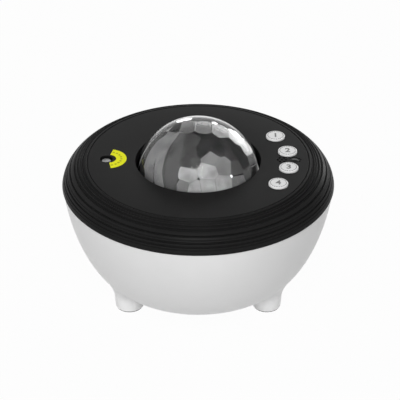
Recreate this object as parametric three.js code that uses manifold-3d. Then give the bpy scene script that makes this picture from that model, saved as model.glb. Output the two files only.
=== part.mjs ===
// Galaxy projector: a white bowl on three feet, a ribbed cover ring with a flat panel, a clear dome
// over a turning faceted lens, a laser outlet with a turning grating, four buttons, a floor speaker.
// Millimetres, +Z up. The table is Z = 0, the dome's axis is X = Y = 0, and the front faces -Y.
import * as THREE from 'three';
import { mergeVertices } from 'three/addons/utils/BufferGeometryUtils.js';
import Module from 'manifold-3d';

const wasm = await Module();
wasm.setup();

// Clearances that every fit shares.
const seatGap = 0.25;
const slipGap = 0.3;
const runGap = 0.4;
const overrun = 1;
const weldTolerance = 1e-4;

// Numbers of sides of the round pieces.
const sides = { large: 36, medium: 18, small: 12, tiny: 6 };

// Wall of the bowl and the cover ring.
const wall = 2.4;

// White bowl. Its side is one Bezier curve from the rim to the edge of the flat floor.
const bowl = {
  floorHeight: 11.5,
  sideReach: 36.3,
  sideHandle: 23.1,
  sideLean: 2.3,
  floorHandle: 21.8,
  steps: 8,
};

// Three feet moulded to the bowl, with a concave fillet, a pad recess and a screw well.
const foot = {
  angles: [-150, -30, 90],
  names: ['left', 'right', 'back'],
  offset: 2.9,
  padWall: 0.8,
  draft: 0.6,
  fillet: 6,
  filletSteps: 3,
  rounds: 14,
  bossWall: 2.1,
  bossHeight: 7.5,
  webThickness: 3,
  wellGap: 0.9,
};
const pad = { radius: 7.2, thickness: 2.2, proud: 0.6 };

// Black cover ring. Its outside is one Bezier curve from the panel's edge to the seam, with grooves.
const ring = {
  bandWidth: 15.45,
  height: 15.6,
  overhang: 0.65,
  crownHandle: 6.4,
  crownDrop: 0.7,
  sideHandle: 8.8,
  sideLean: 1,
  ledgeWidth: 2.7,
  ledgeThickness: 1.6,
  lipHeight: 2.2,
  lipWall: 1.8,
  grooveDepth: 0.6,
  bossOffset: 3.5,
  bossRadius: 3.4,
};
// Each groove: its middle and half width along the curve, and its depth.
const grooveShares = [
  [0.205, 0.055, 1.15],
  [0.372, 0.032, 1],
  [0.518, 0.032, 1],
  [0.665, 0.03, 1],
  [0.81, 0.028, 0.9],
];
const ringInsideShares = [0.86, 0.6, 0.34];

// Flat black panel with the opening for the dome and a skirt that holds the dome's flange.
const panel = {
  thickness: 2.4,
  bandWidth: 29.25,
  edgeGap: 0.25,
  edgeRound: 0.5,
  domeGap: 0.5,
  skirtWall: 2.2,
};

// Clear dome: a ball cap with a flange, clamped from below by a ring with three ears.
const dome = {
  lensGap: 0.6,
  wall: 1.4,
  centreDepth: 12.3,
  flangeRise: 0.7,
  flangeThickness: 1.6,
  flangeWidth: 4.5,
  steps: 6,
};
const retainer = {
  thickness: 2,
  rimWidth: 1.2,
  earAngles: [90, 210, 300],
  earWall: 0.8,
  bossRadius: 3.2,
  bossGap: 1.3,
};

// Inner plate with a collar for the lens carrier and three posts that stand in the bowl.
const chassis = {
  plateThickness: 2.2,
  edgeGap: 0.8,
  postRadius: 4.2,
  collarInset: 5.9,
  collarWall: 2.2,
  collarHeight: 4.8,
  lampHoleRadius: 16,
  wireHoleRadius: 4,
  wireHoleAngles: [135, 270],
  wireHoleCircleRadius: 44,
  socketWall: 1.8,
  socketHeight: 6.6,
};

// Screws: the long ones go up through the feet, the cover ones through the plate.
const caseScrew = { shankRadius: 1.5, headRadius: 3.2, headHeight: 2.4, length: 18 };
const coverScrew = { shankRadius: 1.3, headRadius: 2.6, headHeight: 1.8, length: 10 };
const retainerScrew = { shankRadius: 1.2, headRadius: 2.4, headHeight: 1.6, length: 9 };
const threadGap = 0.15;
const pilotDepth = 1.5;

// Turning faceted lens on its gear ring.
const lens = {
  radius: 35.5,
  wall: 2.2,
  columns: 16,
  twist: -11,
};
const lensRowShares = [0, 0.2, 0.42, 0.63, 0.82, 1];
const lensGear = { pitchInset: 3, teeth: 52, pinionTeeth: 14, pinionAngle: 30 };
const carrier = { height: 5.55, flangeOverlap: 1, flangeThickness: 1.8 };
const lensMotor = { radius: 10, length: 19, shaftRadius: 1.5, hubRadius: 4, hubHeight: 1.2 };

// Lamps on a round board on a finned heat sink.
const heatSink = {
  radius: 20,
  plateThickness: 2.6,
  finLength: 12,
  finThickness: 1.4,
  finCount: 7,
  finGap: 1.15,
};
const ledBoard = { edgeGap: 0.6, thickness: 1.6 };
const led = { radius: 2.3, baseHeight: 1, lensRadius: 1.8, circleRadius: 6.5, count: 4 };

// Laser under its window, with a turning grating between them. The arc decal lies beside the hole.
const laser = {
  offset: 3.175,
  sideOffset: 1.2,
  windowRadius: 2.75,
  windowDepth: 1.35,
  windowThickness: 1,
  bezelWall: 0.7,
  bezelLedge: 0.8,
  bezelFlange: 5.8,
  bezelFlangeThickness: 1.1,
  radius: 6,
  length: 20,
  flangeRadius: 8,
  flangeThickness: 2,
  noseRadius: 3.6,
  noseHeight: 2.8,
  beamRadius: 1.5,
  beamDepth: 9,
};
const grating = {
  teeth: 24,
  pinionTeeth: 12,
  thickness: 3,
  liftBelowPanel: 6.6,
  discRadius: 5.2,
  discThickness: 0.6,
  pinionAngle: 90,
};
const gratingMotor = { radius: 5.2, shaftRadius: 0.8, headroom: 1, socketGap: 1.1 };
const decal = {
  offset: 1.1,
  innerRadius: 4.85,
  outerRadius: 11.2,
  fromAngle: -80,
  toAngle: 76,
  thickness: 0.2,
  sides: 8,
};

// Four round buttons with a tact switch under each.
const button = {
  offset: 2.875,
  count: 4,
  radius: 5.9,
  spacing: 7.85,
  proud: 0.9,
  edgeRound: 0.5,
  rimInset: 0.9,
  rimWidth: 0.35,
  rimHeight: 0.12,
  flangeWidth: 0.9,
  flangeThickness: 1.1,
  stemRadius: 1.7,
  stemLength: 1,
  travel: 0.6,
};
const tact = { width: 6, height: 3.5, plungerRadius: 1.6, plungerProud: 1.4, boreDepth: 2.6 };
const buttonBoard = {
  thickness: 1.6,
  innerWidth: 8.6,
  outerWidth: 8.4,
  stakeOffset: 3,
  stakeRadius: 2.6,
  pinRadius: 1.1,
  pinLength: 1,
  arcSteps: 8,
};

// Infrared window and receiver, microphone under a rosette of holes, and a row of dimples. They
// lie between the two middle buttons, each at its offset from the buttons' circle.
const infrared = {
  offset: 2.8,
  windowRadius: 2.85,
  flangeWidth: 0.4,
  flangeThickness: 0.8,
  bulge: 0.5,
  shoulderShare: 0.7,
  width: 5,
  depth: 4.6,
  height: 5.2,
};
const rosette = { offset: -4.7, circleRadius: 2.5, holeRadius: 0.6, count: 6 };
const dimple = { offset: 6.7, circleRadius: 2.5, angles: [-90, -45, 0, 45, 90], radius: 0.5, depth: 0.7 };
const microphone = { radius: 3, height: 4.6 };

// Main board on three pegs under the plate, and the power socket in its recess at the back.
const mainBoard = {
  width: 48,
  depth: 46,
  thickness: 1.6,
  standoff: 9,
  centreX: -6,
  centreY: -10,
  cornerInset: 4,
  pegRadius: 3,
  pinRadius: 1.2,
  pinLength: 1.2,
};
// Parts soldered to the main board: middle as shares of the board, then width, depth and height.
const chipPlaceShares = [[-0.1, 0.05], [0.26, -0.14], [-0.24, -0.2], [0.3, 0.26]];
const chipSizes = [[12, 12, 1.6], [9, 7, 2.4], [8, 10, 6], [7, 7, 4]];
const socket = {
  height: 40,
  recessRadius: 6.5,
  recessDepth: 5.4,
  floorThickness: 3,
  blockWidth: 18,
  noseRadius: 3.9,
  boreRadius: 2.9,
  boreDepth: 8.5,
  pinRadius: 0.8,
  pinShort: 1.2,
  bodyWidth: 10.5,
  bodyLength: 9,
};

// Loudspeaker that stands on the bowl's floor in a low rib and plays down through radial slots.
const speaker = {
  flangeRadius: 26.5,
  flangeWidth: 2.1,
  flangeThickness: 1.6,
  basketWall: 1.3,
  backRadius: 14,
  depth: 11,
  magnetRadius: 14,
  magnetHeight: 8,
  coilRadius: 6.4,
  coilWall: 0.6,
  coilRise: 4,
  coneWall: 0.8,
  throatWidth: 1.4,
  travel: 0.5,
  ribWall: 1.5,
  ribHeight: 4,
};
const grille = { slots: 12, slotWidth: 2.2, innerRadius: 8, outerRadius: 22 };

// Finishes.
const finishes = {
  whitePlastic: { color: 0xe2e2e2, roughness: 0.32, metalness: 0 },
  blackPlastic: { color: 0x1d1d1d, roughness: 0.4, metalness: 0 },
  panelPlastic: { color: 0x2b2b2b, roughness: 0.55, metalness: 0 },
  clearPlastic: { color: 0xe6ecf0, roughness: 0.05, metalness: 0, transparent: true, opacity: 0.35 },
  lensPlastic: { color: 0xb9bec2, roughness: 0.08, metalness: 0, transparent: true, opacity: 0.55 },
  greyPlastic: { color: 0x8c8f92, roughness: 0.5, metalness: 0 },
  rubber: { color: 0x2e2f30, roughness: 0.85, metalness: 0 },
  steel: { color: 0xa9adb0, roughness: 0.35, metalness: 1 },
  aluminium: { color: 0xc5c8ca, roughness: 0.4, metalness: 1 },
  brass: { color: 0xc9a45a, roughness: 0.35, metalness: 1 },
  boardGreen: { color: 0x1f5a37, roughness: 0.5, metalness: 0 },
  ledResin: { color: 0xf2e7a0, roughness: 0.2, metalness: 0 },
  arcYellow: { color: 0xebeb20, roughness: 0.5, metalness: 0 },
  darkGlass: { color: 0x121214, roughness: 0.1, metalness: 0 },
  frostedGlass: { color: 0x9a9a9a, roughness: 0.3, metalness: 0 },
  paper: { color: 0x3b3a38, roughness: 0.9, metalness: 0 },
};

// Shape helpers. Each returns a closed geometry, or a solid where it joins or cuts.

const radians = THREE.MathUtils.degToRad;

function turned(points, count) {
  const outline = points.map(([radius, height]) => new THREE.Vector2(radius, height));
  if (outline[0].x > 0) outline.push(outline[0].clone());
  const geometry = new THREE.LatheGeometry(outline, count);
  return geometry.rotateX(Math.PI / 2);
}

function disc(radius, bottom, top, count = sides.small) {
  return turned([[0, bottom], [radius, bottom], [radius, top], [0, top]], count);
}

function tube(inner, outer, bottom, top, count = sides.medium) {
  return turned([[inner, bottom], [outer, bottom], [outer, top], [inner, top]], count);
}

function block(width, depth, bottom, top) {
  const geometry = new THREE.BoxGeometry(width, depth, top - bottom);
  return geometry.translate(0, 0, (bottom + top) / 2);
}

function slab(shape, bottom, top, steps = 1) {
  const geometry = new THREE.ExtrudeGeometry(shape, {
    depth: top - bottom,
    bevelEnabled: false,
    curveSegments: steps,
  });
  return geometry.translate(0, 0, bottom);
}

function polar(radius, angle) {
  return [radius * Math.cos(radians(angle)), radius * Math.sin(radians(angle)), 0];
}

function moved(geometry, place) {
  return geometry.translate(...place);
}

function toSolid(shape) {
  if (shape instanceof wasm.Manifold) return shape;
  const bare = shape.clone();
  bare.deleteAttribute('normal');
  bare.deleteAttribute('uv');
  const welded = mergeVertices(bare, weldTolerance);
  return new wasm.Manifold(new wasm.Mesh({
    numProp: 3,
    vertProperties: new Float32Array(welded.attributes.position.array),
    triVerts: new Uint32Array(welded.index.array),
  }));
}

function joined(first, ...others) {
  return others.reduce((sum, other) => sum.add(toSolid(other)), toSolid(first));
}

function cut(first, ...tools) {
  return tools.reduce((rest, tool) => rest.subtract(toSolid(tool)), toSolid(first));
}

function toGeometry(shape) {
  if (!(shape instanceof wasm.Manifold)) return shape;
  const mesh = shape.getMesh();
  const geometry = new THREE.BufferGeometry();
  geometry.setAttribute('position', new THREE.BufferAttribute(mesh.vertProperties, 3));
  geometry.setIndex(new THREE.BufferAttribute(mesh.triVerts, 1));
  geometry.computeVertexNormals();
  return geometry;
}

const projector = new THREE.Group();

function addPart(name, shape, finish, place = [0, 0, 0], turn = 0) {
  const mesh = new THREE.Mesh(toGeometry(shape), new THREE.MeshStandardMaterial(finishes[finish]));
  mesh.name = name;
  mesh.position.set(...place);
  mesh.rotation.z = turn;
  projector.add(mesh);
}

// Outline of a spur gear about the origin with one tooth's middle on the given angle.
const toothShares = { addendum: 1, dedendum: 1.25, rootHalf: 0.36, tipHalf: 0.12 };

function gearOutline(module, teeth, toothAngle) {
  const pitchRadius = (module * teeth) / 2;
  const pitchAngle = (2 * Math.PI) / teeth;
  const rootRadius = pitchRadius - toothShares.dedendum * module;
  const tipRadius = pitchRadius + toothShares.addendum * module;
  const flank = [
    [rootRadius, -toothShares.rootHalf],
    [tipRadius, -toothShares.tipHalf],
    [tipRadius, toothShares.tipHalf],
    [rootRadius, toothShares.rootHalf],
  ];
  const points = [];
  for (let tooth = 0; tooth < teeth; tooth += 1) {
    const middle = radians(toothAngle) + tooth * pitchAngle;
    for (const [radius, share] of flank) {
      const angle = middle + share * pitchAngle;
      points.push(new THREE.Vector2(radius * Math.cos(angle), radius * Math.sin(angle)));
    }
  }
  return new THREE.Shape(points);
}

function pinionOf(module, gear, bottom, top, boreRadius) {
  // The tooth gap faces the followed gear.
  const halfStep = 180 / gear.pinionTeeth;
  const outline = gearOutline(module, gear.pinionTeeth, gear.pinionAngle + 180 + halfStep);
  return cut(slab(outline, bottom, top), disc(boreRadius, bottom - overrun, top + overrun));
}

// Heights that follow from the sizes above, from the bowl's floor up to the panel's face.
const floorTop = bowl.floorHeight + wall;
const bossTop = bowl.floorHeight + foot.bossHeight;
const speakerBottom = floorTop + seatGap;
const speakerTop = speakerBottom + speaker.depth;
const magnetBottom = speakerTop + seatGap;
const magnetTop = magnetBottom + speaker.magnetHeight;
const mainBoardBottom = magnetTop + mainBoard.standoff;
const mainBoardTop = mainBoardBottom + mainBoard.thickness;
const chipHeight = Math.max(...chipSizes.map((size) => size[2]));
const finBottom = mainBoardTop + chipHeight + heatSink.finGap;
const heatSinkBottom = finBottom + heatSink.finLength;
const heatSinkTop = heatSinkBottom + heatSink.plateThickness;
const plateBottom = heatSinkTop + seatGap;
const plateTop = plateBottom + chassis.plateThickness;
const carrierBottom = plateTop + runGap;
const carrierTop = carrierBottom + carrier.height;
const carrierFlangeUnderside = carrierTop - carrier.flangeThickness;
const lensBottom = carrierTop + seatGap;
const retainerBottom = carrierTop + runGap;
const retainerTop = retainerBottom + retainer.thickness;
const domeFlangeBottom = retainerTop + seatGap;
const domeFlangeTop = domeFlangeBottom + dome.flangeThickness;
const domeCentre = domeFlangeTop - dome.flangeRise;
const skirtBottom = domeFlangeTop + seatGap;
const panelHeight = domeCentre + dome.centreDepth;
const panelUnderside = panelHeight - panel.thickness;
const seamHeight = panelHeight - ring.height;
const rimHeight = seamHeight - seatGap;
const lipBottom = plateTop + ring.lipHeight;

// Radii that follow from the sizes above, from the lens out to the bowl's rim and feet.
const domeRadius = lens.radius + dome.lensGap + dome.wall;
const domeFlangeRadius = domeRadius + dome.flangeWidth;
const retainerInner = lens.radius + runGap + seatGap;
const retainerCircleRadius = domeFlangeRadius + retainer.bossGap + retainer.bossRadius;
const collarRadius = lens.radius - chassis.collarInset;
const openingRadius = domeRadius + panel.domeGap;
const skirtRadius = openingRadius + panel.skirtWall;
const panelRadius = openingRadius + panel.bandWidth;
const panelMiddle = openingRadius + panel.bandWidth / 2;
const rebateRadius = panelRadius + panel.edgeGap;
const coverCircleRadius = rebateRadius + ring.bossOffset;
const seamRadius = rebateRadius + ring.bandWidth;
const rimRadius = seamRadius - ring.overhang;
const floorRadius = rimRadius - bowl.sideReach;
const footCircleRadius = floorRadius + foot.offset;
const footBottomRadius = pad.radius + slipGap + foot.padWall;
const footTopRadius = footBottomRadius + foot.draft;
const wellRadius = caseScrew.headRadius + foot.wellGap;
const footBossRadius = wellRadius + foot.bossWall;

// The turning lens: its gears' module and where the pinion's axis stands.
const lensModule = (2 * (lens.radius - lensGear.pitchInset)) / lensGear.teeth;
const lensGearReach = (lensModule * (lensGear.teeth + lensGear.pinionTeeth)) / 2;
const lensPinionPlace = polar(lensGearReach, lensGear.pinionAngle);

// The buttons, and what lies under them down to their board.
const buttonCircleRadius = panelMiddle + button.offset;
const buttonHalfPitch = button.radius + button.spacing / 2;
const buttonStep = 2 * THREE.MathUtils.radToDeg(Math.asin(buttonHalfPitch / buttonCircleRadius));
const buttonAngles = [];
for (let number = 0; number < button.count; number += 1) {
  buttonAngles.push(((button.count - 1) / 2 - number) * buttonStep);
}
const buttonFlangeTop = panelUnderside - runGap;
const buttonFlangeBottom = buttonFlangeTop - button.flangeThickness;
const stemBottom = buttonFlangeBottom - button.stemLength;
const plungerTop = stemBottom - seatGap;
const tactTop = plungerTop - tact.plungerProud;
const tactBottom = tactTop - tact.height;
const buttonBoardTop = tactBottom - seatGap;
const infraredPlace = [buttonCircleRadius + infrared.offset, 0, 0];
const rosettePlace = [buttonCircleRadius + rosette.offset, 0, 0];
const dimplePlace = [buttonCircleRadius + dimple.offset - dimple.circleRadius, 0, 0];

// The laser's axis, the seat of its window, and its turning grating.
const laserPlace = [-panelMiddle - laser.offset, laser.sideOffset, 0];
const windowSeatRadius = laser.windowRadius + slipGap / 2;
const bezelRadius = windowSeatRadius + laser.bezelWall;
const gratingTop = panelHeight - grating.liftBelowPanel - grating.discThickness;
const gratingBottom = gratingTop - grating.thickness;
const laserShoulder = gratingBottom - runGap;
const laserSocketRadius = laser.radius + slipGap + chassis.socketWall;
const gratingReach = laserSocketRadius + gratingMotor.socketGap + gratingMotor.radius;
const gratingModule = (2 * gratingReach) / (grating.teeth + grating.pinionTeeth);
const gratingOffset = polar(gratingReach, grating.pinionAngle);
const gratingPinionPlace = [laserPlace[0] + gratingOffset[0], laserPlace[1] + gratingOffset[1], 0];

// Bowl outline: the outside curve, and the same curve moved in by the wall.
const bowlCurve = new THREE.CubicBezierCurve(
  new THREE.Vector2(rimRadius, rimHeight),
  new THREE.Vector2(rimRadius - bowl.sideLean, rimHeight - bowl.sideHandle),
  new THREE.Vector2(floorRadius + bowl.floorHandle, bowl.floorHeight),
  new THREE.Vector2(floorRadius, bowl.floorHeight),
);

// A point at a share of a curve's length, moved off the curve to its inner side.
function insetPoint(curve, share, depth) {
  const point = curve.getPointAt(share);
  const tangent = curve.getTangentAt(share);
  return [point.x + tangent.y * depth, point.y - tangent.x * depth];
}

function bowlOutline(depth) {
  const points = [];
  for (let step = bowl.steps; step >= 0; step -= 1) {
    points.push(insetPoint(bowlCurve, step / bowl.steps, depth));
  }
  return points;
}

function heightAt(outline, radius) {
  if (radius <= outline[0][0]) return outline[0][1];
  const next = outline.findIndex((point) => point[0] > radius);
  const [r0, z0] = outline[next - 1];
  const [r1, z1] = outline[next];
  return z0 + ((z1 - z0) * (radius - r0)) / (r1 - r0);
}

function radiusAt(outline, height) {
  const next = outline.findIndex((point) => point[1] > height);
  const [r0, z0] = outline[next - 1];
  const [r1, z1] = outline[next];
  return r0 + ((r1 - r0) * (height - z0)) / (z1 - z0);
}

const bowlOutside = bowlOutline(0);
const bowlInside = bowlOutline(wall);
const recessFloor = radiusAt(bowlOutside, socket.height) - socket.recessDepth;
const socketFront = recessFloor - socket.floorThickness;

// One foot at angle 0: rings from its bottom up its fillet and a little way into the bowl's wall.
function footGeometry() {
  const circle = footCircleRadius;
  const sunk = wall / 3;
  const surface = (reach, turn) => {
    const x = circle + reach * Math.cos(turn);
    const y = reach * Math.sin(turn);
    return heightAt(bowlOutside, Math.hypot(x, y));
  };
  const levels = [() => [footBottomRadius, pad.proud]];
  for (let step = 0; step <= foot.filletSteps; step += 1) {
    const t = step / foot.filletSteps;
    levels.push((turn) => {
      const corner = surface(footTopRadius, turn);
      const outer = surface(footTopRadius + foot.fillet, turn);
      const reach = footTopRadius + foot.fillet * t * t;
      const height = (corner - foot.fillet) * (1 - t) ** 2 + 2 * corner * t * (1 - t) + outer * t * t;
      return [reach, height];
    });
  }
  levels.push((turn) => {
    const reach = footTopRadius + foot.fillet;
    return [reach, surface(reach, turn) + sunk];
  });
  const positions = [];
  for (const level of levels) {
    for (let side = 0; side < foot.rounds; side += 1) {
      const turn = (2 * Math.PI * side) / foot.rounds;
      const [reach, height] = level(turn);
      positions.push(circle + reach * Math.cos(turn), reach * Math.sin(turn), height);
    }
  }
  const bottomCentre = positions.length / 3;
  positions.push(circle, 0, pad.proud);
  positions.push(circle, 0, surface(0, 0) + sunk);
  const index = [];
  for (let side = 0; side < foot.rounds; side += 1) {
    const next = (side + 1) % foot.rounds;
    for (let level = 0; level < levels.length - 1; level += 1) {
      const low = level * foot.rounds;
      const high = low + foot.rounds;
      index.push(low + side, low + next, high + next);
      index.push(low + side, high + next, high + side);
    }
    const top = (levels.length - 1) * foot.rounds;
    index.push(bottomCentre, next, side);
    index.push(bottomCentre + 1, top + side, top + next);
  }
  const geometry = new THREE.BufferGeometry();
  geometry.setAttribute('position', new THREE.Float32BufferAttribute(positions, 3));
  geometry.setIndex(index);
  return geometry;
}

// A cylinder along +Y, from one Y to another, centred on the power socket's height.
function rearCylinder(radius, from, to, count = sides.small) {
  const geometry = disc(radius, from, to, count);
  geometry.rotateX(-Math.PI / 2);
  return geometry.translate(0, 0, socket.height);
}

function rearBlock(width, from, to) {
  const geometry = new THREE.BoxGeometry(width, to - from, width);
  return geometry.translate(0, (from + to) / 2, socket.height);
}

function grilleSlots() {
  const slots = [];
  for (let slot = 0; slot < grille.slots; slot += 1) {
    const length = grille.outerRadius - grille.innerRadius;
    const shape = block(length, grille.slotWidth, bowl.floorHeight - overrun, floorTop + overrun);
    shape.translate(grille.innerRadius + length / 2, 0, 0);
    slots.push(shape.rotateZ((2 * Math.PI * slot) / grille.slots));
  }
  return slots;
}

function addBowl() {
  const outsideTop = [0, rimHeight];
  const filled = () => turned([[0, bowl.floorHeight], ...bowlOutside, outsideTop], sides.large);
  const cavityTop = rimHeight + overrun;
  const [rimInside] = bowlInside[bowlInside.length - 1];
  const hollow = [[0, floorTop], ...bowlInside, [rimInside, cavityTop], [0, cavityTop]];
  const feet = foot.angles.map((angle) => footGeometry().rotateZ(radians(angle)));
  const rear = toSolid(rearBlock(socket.blockWidth, socketFront, rimRadius)).intersect(toSolid(filled()));
  const shell = joined(cut(joined(filled(), ...feet), turned(hollow, sides.large)), rear);
  const ribInner = speaker.flangeRadius + slipGap;
  const rib = tube(ribInner, ribInner + speaker.ribWall, floorTop - wall / 2, floorTop + speaker.ribHeight);
  const bosses = [];
  const holes = [];
  for (const angle of foot.angles) {
    const place = polar(footCircleRadius, angle);
    bosses.push(moved(disc(footBossRadius, bowl.floorHeight, bossTop), place));
    holes.push(moved(disc(pad.radius + slipGap, -overrun, pad.thickness + seatGap), place));
    holes.push(moved(disc(wellRadius, 0, bossTop - foot.webThickness), place));
    const screwHole = caseScrew.shankRadius + slipGap;
    holes.push(moved(disc(screwHole, 0, bossTop + overrun), place));
  }
  holes.push(rearCylinder(socket.recessRadius, recessFloor, rimRadius + overrun));
  holes.push(rearCylinder(socket.noseRadius + slipGap, socketFront - overrun, recessFloor + overrun));
  addPart('bowl', cut(joined(shell, rib, ...bosses), ...holes, ...grilleSlots()), 'whitePlastic');
}

// A slotted screw with its head's underside at Z = 0 and its shank up +Z.
function screw(size) {
  const reach = size.headRadius;
  const driver = block(reach, reach / 4, -size.headHeight - overrun, -size.headHeight / 2);
  const body = turned([
    [0, -size.headHeight],
    [reach, -size.headHeight],
    [reach, 0],
    [size.shankRadius, 0],
    [size.shankRadius, size.length - size.shankRadius],
    [0, size.length],
  ], sides.tiny);
  return cut(body, driver);
}

function addFeet() {
  const headSeat = bossTop - foot.webThickness - seatGap;
  foot.angles.forEach((angle, number) => {
    const place = polar(footCircleRadius, angle);
    const round = pad.proud;
    const padOutline = [
      [0, 0],
      [pad.radius - round, 0],
      [pad.radius, round],
      [pad.radius, pad.thickness],
      [0, pad.thickness],
    ];
    addPart(`foot_pad_${foot.names[number]}`, turned(padOutline, sides.small), 'rubber', place);
    addPart(`case_screw_${foot.names[number]}`, screw(caseScrew), 'steel', [place[0], place[1], headSeat]);
  });
}

// Cover ring outline: the outside curve with its grooves, the lip in the bowl and the panel's ledge.
const ringCurve = new THREE.CubicBezierCurve(
  new THREE.Vector2(rebateRadius, panelHeight),
  new THREE.Vector2(rebateRadius + ring.crownHandle, panelHeight - ring.crownDrop),
  new THREE.Vector2(seamRadius - ring.sideLean, seamHeight + ring.sideHandle),
  new THREE.Vector2(seamRadius, seamHeight),
);
const ledgeTop = panelUnderside - seatGap;
const ledgeBottom = ledgeTop - ring.ledgeThickness;

function ringPoint(share, depth) {
  return insetPoint(ringCurve, share, depth);
}

function ringOutside() {
  const points = [ringPoint(0, 0)];
  for (const [middle, half, depth] of grooveShares) {
    points.push(ringPoint(middle - half, 0));
    points.push(ringPoint(middle, depth * ring.grooveDepth));
    points.push(ringPoint(middle + half, 0));
  }
  points.push(ringPoint(1, 0));
  return points;
}

function addCoverRing() {
  const lipOuter = radiusAt(bowlInside, lipBottom) - slipGap;
  const lipInner = lipOuter - ring.lipWall;
  const inside = ringInsideShares.map((share) => ringPoint(share, wall));
  const ledgeInner = rebateRadius - ring.ledgeWidth;
  const outline = [
    ...ringOutside(),
    [lipOuter, seamHeight],
    [lipOuter, lipBottom],
    [lipInner, lipBottom],
    [lipInner, seamHeight + wall],
    [inside[0][0], seamHeight + wall],
    ...inside,
    [rebateRadius + wall, ledgeBottom],
    [ledgeInner, ledgeBottom],
    [ledgeInner, ledgeTop],
    [rebateRadius, ledgeTop],
  ];
  const bossBottom = plateTop + seatGap;
  const bossJoin = ledgeBottom + ring.ledgeThickness / 4;
  const bosses = [];
  const pilots = [];
  for (const angle of foot.angles) {
    const place = polar(coverCircleRadius, angle);
    bosses.push(moved(disc(ring.bossRadius, bossBottom, bossJoin), place));
    const pilotTop = plateBottom - seatGap + coverScrew.length + pilotDepth;
    pilots.push(moved(disc(coverScrew.shankRadius + threadGap, bossBottom - overrun, pilotTop), place));
  }
  const body = turned(outline.reverse(), sides.large);
  addPart('cover_ring', cut(joined(body, ...bosses), ...pilots), 'blackPlastic');
  foot.angles.forEach((angle, number) => {
    const [x, y] = polar(coverCircleRadius, angle);
    addPart(`cover_screw_${number + 1}`, screw(coverScrew), 'steel', [x, y, plateBottom - seatGap]);
  });
}

function stakePlaces() {
  const radius = buttonCircleRadius + buttonBoard.stakeOffset;
  return [buttonStep, -buttonStep].map((angle) => polar(radius, angle));
}

function panelHoles() {
  const below = panelUnderside - overrun;
  const above = panelHeight + overrun;
  const holes = buttonAngles.map((angle) => {
    return moved(disc(button.radius + slipGap, below, above), polar(buttonCircleRadius, angle));
  });
  holes.push(moved(disc(bezelRadius + slipGap, below, above), laserPlace));
  holes.push(moved(disc(infrared.windowRadius + slipGap / 2, below, above), infraredPlace));
  const rosetteHole = () => disc(rosette.holeRadius, below, above, sides.tiny);
  holes.push(moved(rosetteHole(), rosettePlace));
  for (let hole = 0; hole < rosette.count; hole += 1) {
    const place = polar(rosette.circleRadius, (360 * hole) / rosette.count);
    holes.push(moved(moved(rosetteHole(), place), rosettePlace));
  }
  for (const angle of dimple.angles) {
    const pit = disc(dimple.radius, panelHeight - dimple.depth, above, sides.tiny);
    holes.push(moved(moved(pit, polar(dimple.circleRadius, angle)), dimplePlace));
  }
  return holes;
}

function addTopPanel() {
  const body = turned([
    [openingRadius, skirtBottom],
    [skirtRadius, skirtBottom],
    [skirtRadius, panelUnderside],
    [panelRadius, panelUnderside],
    [panelRadius, panelHeight - panel.edgeRound],
    [panelRadius - panel.edgeRound, panelHeight],
    [openingRadius, panelHeight],
  ], sides.large);
  const bosses = [];
  const pilots = [];
  const pilotTop = retainerBottom - seatGap + retainerScrew.length + pilotDepth;
  for (const angle of retainer.earAngles) {
    const place = polar(retainerCircleRadius, angle);
    const bossBottom = retainerTop + seatGap;
    bosses.push(moved(disc(retainer.bossRadius, bossBottom, panelUnderside + seatGap), place));
    pilots.push(moved(disc(retainerScrew.shankRadius + threadGap, bossBottom - overrun, pilotTop), place));
  }
  const boardBottom = buttonBoardTop - buttonBoard.thickness;
  for (const place of stakePlaces()) {
    const shoulder = buttonBoardTop + seatGap;
    bosses.push(moved(turned([
      [0, boardBottom - buttonBoard.pinLength],
      [buttonBoard.pinRadius, boardBottom - buttonBoard.pinLength],
      [buttonBoard.pinRadius, shoulder],
      [buttonBoard.stakeRadius, shoulder],
      [buttonBoard.stakeRadius, panelUnderside + seatGap],
      [0, panelUnderside + seatGap],
    ], sides.small), place));
  }
  addPart('top_panel', cut(joined(body, ...bosses), ...pilots, ...panelHoles()), 'panelPlastic');
}

function arcPoints(radius, centre, from, to, steps) {
  const points = [];
  for (let step = 0; step <= steps; step += 1) {
    const angle = radians(from + ((to - from) * step) / steps);
    points.push([radius * Math.cos(angle), centre + radius * Math.sin(angle)]);
  }
  return points;
}

function addDome() {
  const insideRadius = domeRadius - dome.wall;
  const startAngle = THREE.MathUtils.radToDeg(Math.asin(dome.flangeRise / domeRadius));
  const outline = [
    [insideRadius, domeFlangeBottom],
    [domeFlangeRadius, domeFlangeBottom],
    [domeFlangeRadius, domeFlangeTop],
    ...arcPoints(domeRadius, domeCentre, startAngle, 90, dome.steps),
    ...arcPoints(insideRadius, domeCentre, 90, 0, dome.steps),
  ];
  addPart('dome', turned(onAxis(outline), sides.large), 'clearPlastic');
}

// A closed outline that touches the axis, turned round so that it starts and ends there.
function onAxis(outline) {
  const tidy = outline.map(([radius, height]) => [Math.abs(radius) < weldTolerance ? 0 : radius, height]);
  const last = tidy.findIndex((point, at) => point[0] === 0 && tidy[(at + 1) % tidy.length][0] === 0);
  return [...tidy.slice(last + 1), ...tidy.slice(0, last + 1)];
}

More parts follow.
